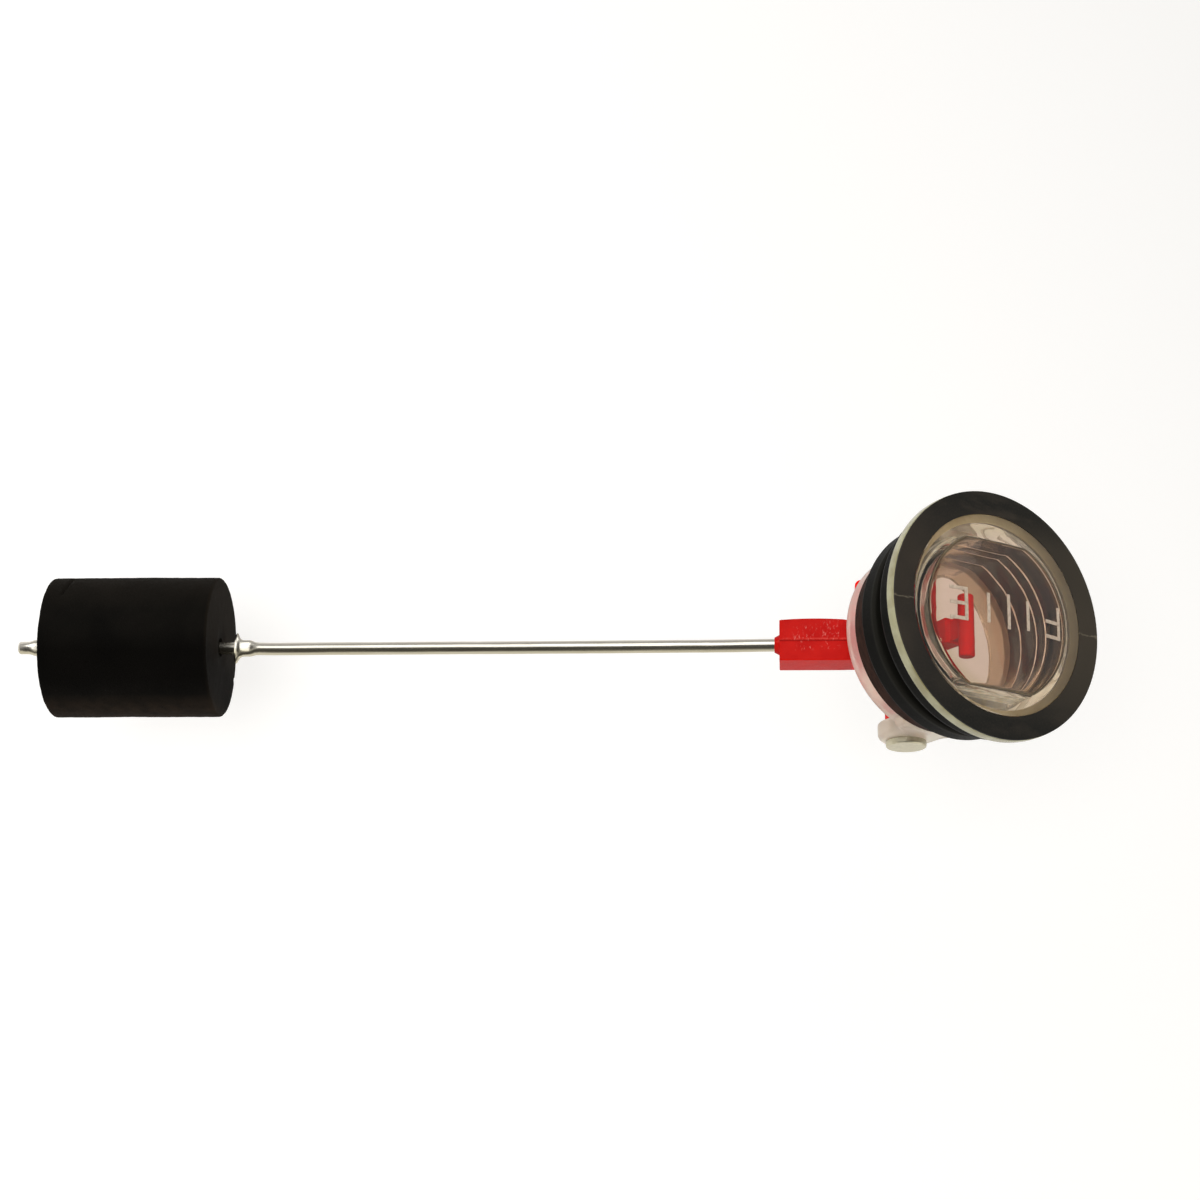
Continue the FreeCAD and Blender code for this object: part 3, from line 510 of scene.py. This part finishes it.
def foam_black():
    material, graph, shader = new_material(
        "foam_black", srgb(15, 14, 11), Roughness=0.85, Specular_IOR_Level=0.04)
    where = graph.place()
    cloud = graph.noise(where, 0.09, 3.0)
    tone = graph.blend(graph.span(cloud, 0.35, 0.7), srgb(12, 11, 9), srgb(20, 18, 15))
    arm_x, arm_y = graph.parts(graph.arm_place())[:2]
    end = graph.span(arm_x, -168.7, -168.0)
    tone = graph.blend(graph.math("MULTIPLY", end, 0.8), tone, srgb(29, 24, 18))
    # Painted light and shade: paler along its +Y side and darker below its middle
    tone = graph.blend(graph.span(arm_y, 5.0, 17.0, 0.0, 0.5), tone, srgb(36, 31, 25))
    tone = graph.blend(graph.math("MULTIPLY", graph.band(arm_y, -8.5, 3.0, 5.0), 0.7), tone, srgb(6, 5, 4))
    # Painted rim light: a brownish band along the -Y edge, broken up by noise
    stain_and_sheen_noise = graph.span(graph.noise(where, 0.3, 3.0), 0.35, 0.6, 0.5, 1.0)
    low_rim_light = graph.both(graph.span(arm_y, -14.6, -16.9), stain_and_sheen_noise)
    tone = graph.blend(graph.math("MULTIPLY", low_rim_light, 0.7), tone, srgb(45, 36, 28))
    pores = graph.cells(where, 1.9)
    tone = graph.blend(graph.span(pores, 0.0, 0.25, 0.5, 0.0), tone, srgb(9, 8, 6))
    graph.wire(tone, shader.inputs["Base Color"])
    small = graph.cells(where, 3.6)
    skin = graph.math("MINIMUM", graph.span(pores, 0.05, 0.4), graph.span(small, 0.0, 0.45))
    graph.wire(graph.bump(skin, 0.00012, 0.4), shader.inputs["Normal"])
    return material


def print_cream():
    material, graph, shader = new_material(
        "print_cream", srgb(196, 178, 160), Roughness=0.55)
    where = graph.place()
    worn = graph.noise(where, 1.6, 4.0, 0.6)
    graph.wire(graph.blend(graph.span(worn, 0.4, 0.7), srgb(196, 178, 158), srgb(160, 140, 122)),
               shader.inputs["Base Color"])
    graph.wire(graph.bump(worn, 0.00004, 0.5), shader.inputs["Normal"])
    return material


def dress(node, material):
    """Give a solid of the source a material and leave its shape alone."""
    obj = nodes[node]
    obj.data.materials.clear()
    obj.data.materials.append(material)


# Meshes


def build(name, rings, caps=(True, True)):
    """A skin over rings of points, each ring joined to the next, in millimetres."""
    mesh = bpy.data.meshes.new(name)
    count = len(rings[0])
    points = [tuple(p * MM for p in point) for ring in rings for point in ring]
    faces = []
    for level in range(len(rings) - 1):
        for i in range(count):
            j = (i + 1) % count
            faces.append((level * count + i, level * count + j,
                          (level + 1) * count + j, (level + 1) * count + i))
    if caps[0]:
        faces.append(tuple(reversed(range(count))))
    if caps[1]:
        faces.append(tuple(range((len(rings) - 1) * count, len(rings) * count)))
    mesh.from_pydata(points, [], faces)
    mesh.update()
    obj = bpy.data.objects.new(name, mesh)
    scene.collection.objects.link(obj)
    return obj


def tidy_normals(obj, angle=30.0):
    """Normals outwards, and smooth faces with an edge kept wherever they turn by more than the angle."""
    work = bmesh.new()
    work.from_mesh(obj.data)
    bmesh.ops.recalc_face_normals(work, faces=work.faces)
    work.to_mesh(obj.data)
    work.free()
    for polygon in obj.data.polygons:
        polygon.use_smooth = True
    obj.data.set_sharp_from_angle(angle=math.radians(angle))


def arc(centre, radius, start, end, count):
    """Points of an arc in the (r, z) plane, angles in degrees, both ends included."""
    return [(centre[0] + radius * math.cos(math.radians(start + (end - start) * i / count)),
             centre[1] + radius * math.sin(math.radians(start + (end - start) * i / count)))
            for i in range(count + 1)]


def fade(value, low, high):
    """0 at low, 1 at high, with a smooth run between them."""
    t = min(1.0, max(0.0, (value - low) / (high - low)))
    return t * t * (3 - 2 * t)


# The clear body's sizes, in the source's millimetres: its window and flange,
WINDOW_RADIUS = 24.2
WINDOW_BASE = 3.2
WINDOW_BEVEL = (0.12, 0.10)
DOME_RISE = 2.7
DOME_RINGS = 30
WINDOW_WALL = 2.4
FLANGE_RADIUS = 30.0
FLANGE_THICK = 2.8
FLANGE_ROUND = 0.5
UNDERSIDE = 0.02
# its barrel, with the foot of the grommet's sleeve and the root of the barrel as heights,
BARREL_RADIUS = 22.3
BARREL_DEPTH = 26.2
ROOT_END = -2.2
MILKY_TOP = -19.4
SLEEVE_END = -21.5
MOUTH_ROUND = 0.35
MOUTH_BEVEL = 0.3
# the hollow, with its flats, its moulded steps, its rounded top and the shares at which the top
# has rings,
BORE_RADIUS = 20.1
FLAT_HALF = 18.1
STEP_SIZE = 0.15
STEP_LEVELS = (-13.6, -7.8, -4.4)
STEP_BELOW = 0.50
STEP_ABOVE = 0.12
STEP_LIP = 0.22
TOP_INSET = 0.15
TOP_ROUND = 0.7
TOP_DROP = 1.3
TOP_LINE = 0.3
TOP_SHIFT = 0.75
TOP_SHARES = [0.985] + [k / 10 for k in range(9, 0, -1)]
# its pivot lugs, whose inner faces stand just off the flats' planes, and the pin's bore,
LUG_START = -21.55
LUG_INNER = FLAT_HALF + 0.01
LUG_FACE = 22.7
LUG_RADIUS = 6.8
LUG_ROUND = 1.8
LUG_INNER_ROUND = 0.9
LUG_FLARE = 2.6
PIN_BORE = 2.02
# its travel stops, which the lever's heel meets at the end of its fall,
STOP_WIDTH = 2.4
STOP_HEIGHT = 3.6
STOP_PROUD = 2.2
STOP_ROOT = 1.0
STOP_LIFT = 0.4
STOP_CLEAR = 0.1
HEEL_REACH = 4.65
FALL_TRAVEL = math.radians(25.0)
# and the counts of steps: on a round side, on a flat, on small rounds, round a lug and a bore
SIDE_STEPS = 92
FLAT_STEPS = 36
ROUND_STEPS = 6
MOUTH_STEPS = 5
LUG_STEPS = 8
LUG_TURNS = 40
BORE_TURNS = 48
# Loops that only divide a face: on the flange's top and underside and down the barrel
FLANGE_LOOPS = (26.5, 26.0)
BARREL_LOOP = -9.0

# The lens's materials by their order, and what tells its faces apart: how far a face of a
# painted pale line lies from the levels of its rings, the radii round the hollow's wall, the heights of the
# mouth's edge over the barrel's end, the X from which the top has its painted pale line, the width of
# the rim, the depth of the barrel's skin and a small margin. The pale lines are painted highlights.
CLEAR, MILKY, RIM, EDGE, SEAT = range(5)
EDGE_SKIN = 0.02
HOLLOW_WALL = (BORE_RADIUS - 3.0, BORE_RADIUS + 0.9)
MOUTH_EDGE = (0.05, 0.34)
LINE_START = 3.0
RIM_WIDTH = 1.6
BARREL_SKIN = 0.6
MARGIN = 0.1


def turns(inset):
    """The angles round the axis, with a point on each corner of the flats at that inset."""
    corner = math.asin((FLAT_HALF - inset) / (BORE_RADIUS - inset))
    stops = [-corner, corner, math.pi - corner, math.pi + corner, 2 * math.pi - corner]
    angles = []
    for k, steps in enumerate((SIDE_STEPS, FLAT_STEPS, SIDE_STEPS, FLAT_STEPS)):
        angles += [stops[k] + (stops[k + 1] - stops[k]) * i / steps for i in range(steps)]
    return angles


def round_ring(radius, z):
    """A ring of the outside."""
    return [(radius * math.cos(a), radius * math.sin(a), z) for a in turns(0)]


def flat_ring(inset, z, share=1.0):
    """A ring of the hollow: a circle with two flats."""
    ring = []
    for a in turns(inset):
        reach = BORE_RADIUS - inset
        if abs(math.sin(a)) * reach > FLAT_HALF - inset:
            reach = (FLAT_HALF - inset) / abs(math.sin(a))
        ring.append((share * reach * math.cos(a), share * reach * math.sin(a), z))
    return ring


def ball_ring(inset, centre, radius, share=1.0, drop=0.0):
    """A ring of the hollow's top, which lies on a ball inside the dome, a little towards +X."""
    ring = []
    for x, y, z in flat_ring(inset, 0.0, share):
        x += TOP_SHIFT * share
        ring.append((x, y, centre + math.sqrt(radius ** 2 - x * x - y * y) - drop))
    return ring


def dome_ball():
    """Radius of the dome's ball and the height of its centre."""
    sphere = (WINDOW_RADIUS ** 2 + DOME_RISE ** 2) / (2 * DOME_RISE)
    return sphere, WINDOW_BASE + DOME_RISE - sphere


def lens_rings():
    """The clear body's rings: over the dome and the flange, down the barrel, up the hollow."""
    sphere, centre = dome_ball()
    rings = []
    for i in range(1, DOME_RINGS + 1):
        r = (WINDOW_RADIUS - WINDOW_BEVEL[0]) * i / DOME_RINGS
        rings.append(round_ring(r, centre + math.sqrt(sphere ** 2 - r ** 2)))
    outside = [(WINDOW_RADIUS, WINDOW_BASE - WINDOW_BEVEL[1]), (WINDOW_RADIUS, FLANGE_THICK),
               (FLANGE_LOOPS[0], FLANGE_THICK)]
    rim = FLANGE_RADIUS - FLANGE_ROUND
    outside += arc((rim, FLANGE_THICK - FLANGE_ROUND), FLANGE_ROUND, 90, 0, ROUND_STEPS)
    outside += arc((rim, FLANGE_ROUND), FLANGE_ROUND, 0, -90, ROUND_STEPS)
    outside += [(FLANGE_LOOPS[1], UNDERSIDE)]
    outside += [(BARREL_RADIUS, z) for z in (UNDERSIDE, ROOT_END, BARREL_LOOP, MILKY_TOP, SLEEVE_END)]
    mouth = (BARREL_RADIUS - MOUTH_ROUND, MOUTH_ROUND - BARREL_DEPTH)
    outside += arc(mouth, MOUTH_ROUND, 0, -90, MOUTH_STEPS)
    rings += [round_ring(r, z) for r, z in outside]
    rings.append(flat_ring(-MOUTH_BEVEL, -BARREL_DEPTH))
    rings.append(flat_ring(0, MOUTH_ROUND - BARREL_DEPTH))
    for k, level in enumerate(STEP_LEVELS):
        inset = STEP_SIZE * k
        rings.append(flat_ring(inset, level - STEP_BELOW))
        rings.append(flat_ring(inset - STEP_LIP, level - STEP_ABOVE))
        rings.append(flat_ring(inset + STEP_SIZE, level + STEP_ABOVE))
    under = sphere - WINDOW_WALL
    rings.append(ball_ring(TOP_INSET, centre, under, drop=TOP_DROP + TOP_LINE))
    for i in range(ROUND_STEPS + 1):
        phi = math.pi / 2 * i / ROUND_STEPS
        rings.append(ball_ring(TOP_INSET + TOP_ROUND * (1 - math.cos(phi)), centre, under,
                               drop=TOP_DROP * (1 - math.sin(phi))))
    for share in TOP_SHARES:
        rings.append(ball_ring(TOP_INSET + TOP_ROUND, centre, under, share=share))
    return rings


def lug_mesh(side):
    """One pivot lug: a tab with a round end, its outer edge rounded, flowing into the barrel."""
    rings = []
    inner = LUG_INNER_ROUND
    levels = []
    for i in range(ROUND_STEPS + 1):
        phi = math.pi / 2 * i / ROUND_STEPS
        levels.append((LUG_INNER + inner * (1 - math.cos(phi)), inner * (1 - math.sin(phi))))
    for i in range(LUG_STEPS + 1):
        phi = math.pi / 2 * i / LUG_STEPS
        levels.append((LUG_FACE - LUG_ROUND + LUG_ROUND * math.sin(phi), LUG_ROUND * (1 - math.cos(phi))))
    bend = -BARREL_DEPTH - LUG_FLARE / 2
    root = LUG_RADIUS + LUG_FLARE
    for y, inset in levels:
        r = LUG_RADIUS - inset
        flare = LUG_FLARE + inset
        last = math.acos(inset / flare)
        ring = [(r * math.cos(a), side * y, PIVOT_Z + r * math.sin(a))
                for a in (math.pi + math.pi * i / LUG_TURNS for i in range(LUG_TURNS + 1))]
        sweep = arc((root, bend), flare, 180, 180 - math.degrees(last), LUG_STEPS)
        ring += [(x, side * y, z) for x, z in sweep]
        ring += [(x, side * y, LUG_START - inset) for x in (root - inset, inset - root)]
        ring += [(-x, side * y, z) for x, z in reversed(sweep)]
        rings.append(ring)
    obj = build("lug", rings)
    tidy_normals(obj)
    return obj


def box_mesh(x, y, z):
    """A box from the low and high value of each axis."""
    rings = [[(x[i], y[j], level) for i, j in ((0, 0), (1, 0), (1, 1), (0, 1))] for level in z]
    obj = build("box", rings)
    tidy_normals(obj)
    return obj


def combine(target, tools, operation):
    """Join tools to the target, or cut them out of it, and delete them."""
    for tool in tools:
        modifier = target.modifiers.new("combine", "BOOLEAN")
        modifier.operation = operation
        modifier.solver = "EXACT"
        modifier.object = tool
        bpy.context.view_layer.update()
        shaped = bpy.data.meshes.new_from_object(
            target.evaluated_get(bpy.context.evaluated_depsgraph_get()))
        target.modifiers.clear()
        old = target.data
        target.data = shaped
        bpy.data.meshes.remove(old)
        bpy.data.objects.remove(tool)


def stop_meshes():
    """The travel stops: a block on each flat, where the heel meets it at the end of its fall."""
    fall = ARM_ANGLE + FALL_TRAVEL
    rise = -PIVOT_Z - BARREL_DEPTH + STOP_LIFT
    edge = (rise * math.cos(fall) - HEEL_REACH - STOP_CLEAR) / math.sin(fall)
    foot = STOP_LIFT - BARREL_DEPTH
    stops = []
    for side in (1, -1):
        y = sorted((side * (FLAT_HALF - STOP_PROUD), side * (FLAT_HALF + STOP_ROOT)))
        stops.append(box_mesh((edge - STOP_WIDTH, edge), y, (foot, foot + STOP_HEIGHT)))
    return stops


def pin_bore():
    """A round bar where the pin goes through both lugs."""
    angles = [2 * math.pi * i / BORE_TURNS for i in range(BORE_TURNS)]
    bore = build("bore", [[(PIN_BORE * math.cos(a), y, PIVOT_Z + PIN_BORE * math.sin(a)) for a in angles]
                          for y in (-FLANGE_RADIUS, FLANGE_RADIUS)])
    tidy_normals(bore)
    return bore


def lens_slot(x, y, z):
    """Which of the lens's materials a face takes, by the place of its middle."""
    sphere, centre = dome_ball()
    r = math.hypot(x, y)
    if HOLLOW_WALL[0] < r < HOLLOW_WALL[1]:
        edges = [(level - STEP_BELOW + EDGE_SKIN, level + STEP_ABOVE - EDGE_SKIN) for level in STEP_LEVELS]
        edges.append((MOUTH_EDGE[0] - BARREL_DEPTH, MOUTH_EDGE[1] - BARREL_DEPTH))
        if any(low < z < high for low, high in edges):
            return EDGE
        below = centre + math.sqrt((sphere - WINDOW_WALL) ** 2 - r * r) - z
        if x > LINE_START and TOP_DROP + EDGE_SKIN < below < TOP_DROP + TOP_LINE - EDGE_SKIN:
            return EDGE
    if r > FLANGE_RADIUS - RIM_WIDTH and -MARGIN < z < FLANGE_THICK + MARGIN:
        return RIM
    if z < MILKY_TOP and (r > BARREL_RADIUS - BARREL_SKIN or z < MOUTH_EDGE[0] - BARREL_DEPTH):
        return MILKY
    if ROOT_END < z < MARGIN and r > BARREL_RADIUS - MARGIN:
        return SEAT
    return CLEAR


def make_lens():
    lens = build("lens_clear", lens_rings())
    tidy_normals(lens)
    combine(lens, [lug_mesh(1), lug_mesh(-1)], "UNION")
    combine(lens, stop_meshes(), "UNION")
    combine(lens, [pin_bore()], "DIFFERENCE")
    tidy_normals(lens, angle=32)
    mesh = lens.data
    mesh.materials.clear()
    for material in (clear_plastic(), milky_plastic(), rim_plastic(), step_highlight(), seat_plastic()):
        mesh.materials.append(material)
    for polygon in mesh.polygons:
        polygon.material_index = lens_slot(*(c / MM for c in polygon.center))
    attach(lens, "gauge")
    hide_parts("lens_body")


def rod_point(s, y, over):
    """A place by its distance along the rod from the pivot, its Y and its height over the rod."""
    spot = ROD_ROOT + ROD_WAY * s + ROD_OVER * over
    return (spot.x, y, spot.z)


# The float and the rod, in the source's millimetres
FLOAT_START = 167.8
FLOAT_LENGTH = 42.0
FLOAT_RADIUS = 17.45
FLOAT_HOLE = 2.38
FLOAT_ROUND = 0.75
FLOAT_TURNS = 240
FLOAT_END_STEPS = 22
FLOAT_SIDE_STEPS = 86
# Its hole: the width and depth of the lip at each end, how far the bore narrows and within
# what depth, and the depth and radius of the sink round the lip
HOLE_LIP = (0.35, 0.25)
HOLE_NARROWING = (0.25, 1.0)
SINK_DEPTH = 0.25
SINK_RADIUS = 6.0

# Cuts in the float's skin, by place along the rod and angle in degrees: a slanting nick on
# its side, a chip on its near rim and a dent. Each has a depth and the distances up to which it
# is full and at which it ends, and DEGREE_WIDTH is the width of a degree on the float's side.
NICK_LINE = ((205.3, 22.0), (204.2, 34.0), (204.4, 45.5), (204.9, 57.0))
NICK_CUT = (0.55, 0.05, 0.55)
CHIP = (168.1, 256.5)
CHIP_CUT = (0.7, 0.2, 1.1)
DENT = (197.4, 118.5)
DENT_CUT = (0.3, 0.1, 0.6)
DEGREE_WIDTH = 0.3


def float_outline():
    """Section of the float as (s, r), from the hole's near end round the outside and back."""
    start, end = FLOAT_START, FLOAT_START + FLOAT_LENGTH
    soft = FLOAT_ROUND
    face = FLOAT_HOLE + HOLE_LIP[0]
    narrow = FLOAT_HOLE - HOLE_NARROWING[0]
    run = FLOAT_RADIUS - soft - face
    quarter = [math.pi / 2 * i / ROUND_STEPS for i in range(ROUND_STEPS + 1)]
    bends = [(soft * (1 - math.cos(a)), soft * (1 - math.sin(a))) for a in quarter]
    section = [(start + HOLE_NARROWING[1], narrow), (start + HOLE_LIP[1], FLOAT_HOLE)]
    section += [(start, face + run * i / FLOAT_END_STEPS) for i in range(FLOAT_END_STEPS)]
    section += [(start + along, FLOAT_RADIUS - inward) for along, inward in bends]
    section += [(start + soft + (FLOAT_LENGTH - 2 * soft) * i / FLOAT_SIDE_STEPS, FLOAT_RADIUS)
                for i in range(1, FLOAT_SIDE_STEPS)]
    section += [(end - inward, FLOAT_RADIUS - along) for along, inward in bends]
    section += [(end, FLOAT_RADIUS - soft - run * i / FLOAT_END_STEPS) for i in range(1, FLOAT_END_STEPS + 1)]
    section += [(end - HOLE_LIP[1], FLOAT_HOLE), (end - HOLE_NARROWING[1], narrow)]
    return section


def cut_at(off, deep, full, over):
    """Depth of one cut at a distance from its line or middle."""
    return deep * (1 - fade(off, full, over))


def cut_depth(s, turn):
    """How deep the float's skin is cut at a place along the rod and an angle."""
    depth = 0.0
    for (s0, t0), (s1, t1) in zip(NICK_LINE, NICK_LINE[1:]):
        span = (s1 - s0, (t1 - t0) * DEGREE_WIDTH)
        reach = (s - s0, (turn - t0) * DEGREE_WIDTH)
        share = (reach[0] * span[0] + reach[1] * span[1]) / (span[0] ** 2 + span[1] ** 2)
        share = min(1.0, max(0.0, share))
        off = math.hypot(reach[0] - share * span[0], reach[1] - share * span[1])
        depth = max(depth, cut_at(off, *NICK_CUT))
    for spot, cut in ((CHIP, CHIP_CUT), (DENT, DENT_CUT)):
        off = math.hypot(s - spot[0], (turn - spot[1]) * DEGREE_WIDTH)
        depth = max(depth, cut_at(off, *cut))
    return depth


def make_float():
    """A foam cylinder with an uneven skin, open where the rod goes through."""
    rings = []
    middle = FLOAT_START + FLOAT_LENGTH / 2
    for s, r in float_outline():
        ring = []
        towards = 1 if s < middle else -1
        for i in range(FLOAT_TURNS):
            angle = 2 * math.pi * i / FLOAT_TURNS
            side = Vector((math.cos(angle), math.sin(angle), 0)) * r
            where = Vector((side.x, side.y, s))
            slow = 0.5 + 0.5 * noise.noise(where * 0.09)
            quick = 0.5 + 0.5 * noise.noise(where * 0.55 + Vector((7, 3, 1)))
            fine = 0.5 + 0.5 * noise.noise(where * 2.3)
            skin = 0.22 * slow + 0.09 * quick + 0.07 * fine
            outer = fade(r, FLOAT_RADIUS - 2.5, FLOAT_RADIUS)
            ends = fade(abs(s - middle), FLOAT_LENGTH / 2 - 1.2, FLOAT_LENGTH / 2)
            cut = cut_depth(s, math.degrees(angle)) if outer > 0.5 else 0.0
            near = (r - skin * outer - cut) / max(r, 0.01)
            inward = skin * ends * towards
            if FLOAT_HOLE < r < SINK_RADIUS:
                inward += SINK_DEPTH * (1 - fade(r, FLOAT_HOLE, SINK_RADIUS)) * towards
            ring.append(rod_point(s + inward, side.x * near, side.y * near))
        rings.append(ring)
    rings.append(rings[0])
    body = build("float_foam", rings, caps=(False, False))
    work = bmesh.new()
    work.from_mesh(body.data)
    bmesh.ops.remove_doubles(work, verts=work.verts, dist=1e-7)
    work.to_mesh(body.data)
    work.free()
    tidy_normals(body, angle=50)
    body.data.materials.append(foam_black())
    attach(body, "float")
    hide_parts("foam_float")


# Sections of the rod: place, half width towards +Y and -Y, half height, squareness
ROD_SECTIONS = (
    (15.7, 1.6, 1.6, 1.6, 2.0),
    (31.0, 1.6, 1.6, 1.6, 2.0),
    (158.4, 1.6, 1.6, 1.6, 2.0),
    (159.4, 1.66, 1.64, 1.56, 2.1),
    (160.3, 1.98, 1.92, 1.34, 3.0),
    (161.0, 2.04, 2.0, 1.3, 3.6),
    (162.3, 2.06, 2.02, 1.3, 3.6),
    (162.9, 2.25, 2.2, 1.3, 3.0),
    (163.3, 2.7, 2.6, 1.28, 2.6),
    (163.6, 3.35, 3.2, 1.24, 2.3),
    (163.85, 3.95, 3.8, 1.2, 2.2),
    (164.1, 4.1, 4.02, 1.2, 2.2),
    (164.35, 4.0, 3.95, 1.2, 2.2),
    (164.48, 3.7, 3.6, 1.22, 2.2),
    (164.52, 1.6, 1.6, 1.6, 2.0),
    (211.18, 1.6, 1.6, 1.6, 2.0),
    (211.22, 3.7, 3.6, 1.22, 2.2),
    (211.35, 4.02, 3.9, 1.2, 2.2),
    (211.6, 4.1, 4.0, 1.2, 2.2),
    (211.85, 3.9, 3.85, 1.2, 2.2),
    (212.1, 3.3, 3.25, 1.24, 2.3),
    (212.4, 2.65, 2.6, 1.28, 2.6),
    (212.8, 2.22, 2.2, 1.3, 3.0),
    (213.4, 2.05, 2.02, 1.3, 3.6),
    (214.7, 2.02, 2.0, 1.3, 3.6),
    (215.4, 1.9, 1.88, 1.36, 3.0),
    (216.2, 1.66, 1.64, 1.56, 2.1),
    (217.0, 1.6, 1.6, 1.6, 2.0),
    (218.5, 1.6, 1.6, 1.6, 2.0),
    (218.8, 1.5, 1.5, 1.5, 2.0),
    (219.0, 1.3, 1.3, 1.3, 2.0),
    (219.1, 1.0, 1.0, 1.0, 2.0),
)
# The rod is a little bent towards -Y: place and offset
ROD_BEND = ((30.0, 0.0), (50.0, -0.18), (75.0, -0.3), (100.0, -0.37), (137.0, -0.44), (154.0, -0.5),
            (164.0, -0.36), (170.0, -0.15), (185.0, 0.0), (220.0, 0.0))
# How finely the rod is divided round and along, the share of their size at which its sections
# are drawn, and the roughness on top of that, as a share too
ROD_TURNS = 56
ROD_STEP = 2.5
ROD_SHARE = 0.988
ROD_ROUGH = 0.02
# The staked ears: the middle of each pair, the half length and how many times rougher they are
EAR_PLACES = (162.5, 213.5)
EAR_HALF = 3.2
EAR_ROUGH = 3.0


def bend_at(s):
    """The rod's offset in Y at a place along it."""
    if s <= ROD_BEND[0][0]:
        return 0.0
    for (s0, y0), (s1, y1) in zip(ROD_BEND, ROD_BEND[1:]):
        if s <= s1:
            return y0 + (y1 - y0) * fade(s, s0, s1)
    return 0.0


def make_rod():
    """The wire with its flats and ears, each section a rounded square between a circle and a bar."""
    stations = []
    for first, last in zip(ROD_SECTIONS, ROD_SECTIONS[1:]):
        steps = max(1, int((last[0] - first[0]) / ROD_STEP))
        for i in range(steps):
            stations.append([a + (b - a) * i / steps for a, b in zip(first, last)])
    stations.append(list(ROD_SECTIONS[-1]))
    rings = []
    for s, up, down, half, square in stations:
        ring = []
        bent = bend_at(s)
        for i in range(ROD_TURNS):
            angle = 2 * math.pi * i / ROD_TURNS
            c, d = math.cos(angle), math.sin(angle)
            wide = math.copysign(abs(c) ** (2 / square), c) * (up if c > 0 else down)
            high = math.copysign(abs(d) ** (2 / square), d) * half
            rough = ROD_ROUGH * noise.noise(Vector((wide * 0.8, high * 0.8, s * 0.35)))
            if any(abs(s - ear) < EAR_HALF for ear in EAR_PLACES):
                rough *= EAR_ROUGH
            share = ROD_SHARE + rough
            ring.append(rod_point(s, bent + wide * share, high * share))
        rings.append(ring)
    rod = build("rod_wire", rings)
    tidy_normals(rod, angle=40)
    rod.data.materials.append(rod_steel())
    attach(rod, "lever")
    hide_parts("float_rod")


# The arm block, from the pivot: its run along the arm and its height, how far its sides stand
# out of the solid's and at which half widths that starts and is full, and the cuts that let its
# +Y side curve
BLOCK_RUN = (-30.6, -13.3)
BLOCK_HEIGHT = (0.7, 9.95)
BLOCK_MIDDLE = -22.0
BLOCK_HALF = 8.4
SWELL_MIDDLE = 0.50
SWELL_LOSS = 0.34
SWELL_MINUS_Y = -0.05
SWELL_WIDTHS = (2.0, 4.6)
BLOCK_CUTS = [-13.2 - 1.9 * i for i in range(9)]


def make_lever():
    """The lever's own solid, with the arm block a little swollen on its +Y side."""
    mesh = nodes["float_lever"].data.copy()
    lever = bpy.data.objects.new("lever_red", mesh)
    scene.collection.objects.link(lever)
    turn = Matrix((-ROD_WAY, Vector((0, 1, 0)), ROD_OVER)).transposed().to_4x4()
    home = Matrix.Translation(Vector((0, 0, PIVOT_Z)) * MM) @ turn
    work = bmesh.new()
    work.from_mesh(mesh)
    bmesh.ops.transform(work, matrix=home.inverted(), verts=work.verts)
    bmesh.ops.remove_doubles(work, verts=work.verts, dist=1e-6)
    bmesh.ops.dissolve_limit(work, angle_limit=math.radians(0.5), verts=work.verts, edges=work.edges)
    for cut in BLOCK_CUTS:
        bmesh.ops.bisect_plane(work, geom=work.verts[:] + work.edges[:] + work.faces[:], dist=1e-7,
                               plane_co=(cut * MM, 0, 0), plane_no=(1, 0, 0))
    for vertex in work.verts:
        x, y, z = (c / MM for c in vertex.co)
        within = BLOCK_RUN[0] < x < BLOCK_RUN[1] and BLOCK_HEIGHT[0] < z < BLOCK_HEIGHT[1]
        if within and abs(y) > SWELL_WIDTHS[0]:
            swell = SWELL_MIDDLE - SWELL_LOSS * ((x - BLOCK_MIDDLE) / BLOCK_HALF) ** 2
            if y < 0:
                swell = SWELL_MINUS_Y
            vertex.co.y += swell * MM * fade(abs(y), *SWELL_WIDTHS)
    bmesh.ops.transform(work, matrix=home, verts=work.verts)
    work.to_mesh(mesh)
    work.free()
    tidy_normals(lever, angle=28)
    mesh.materials.clear()
    mesh.materials.append(red_plastic())
    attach(lever, "lever")
    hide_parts("float_lever")


place_camera()
light_the_room()
lay_floor()

make_lens()
make_float()
make_rod()
make_lever()
dress("face_ring", ring_black())
dress("grommet", rubber_black())
zinc = pin_zinc()
dress("pivot_pin", zinc)
dress("pin_clip", zinc)
dress("dial_marks", print_cream())

scene.view_settings.view_transform = "Standard"
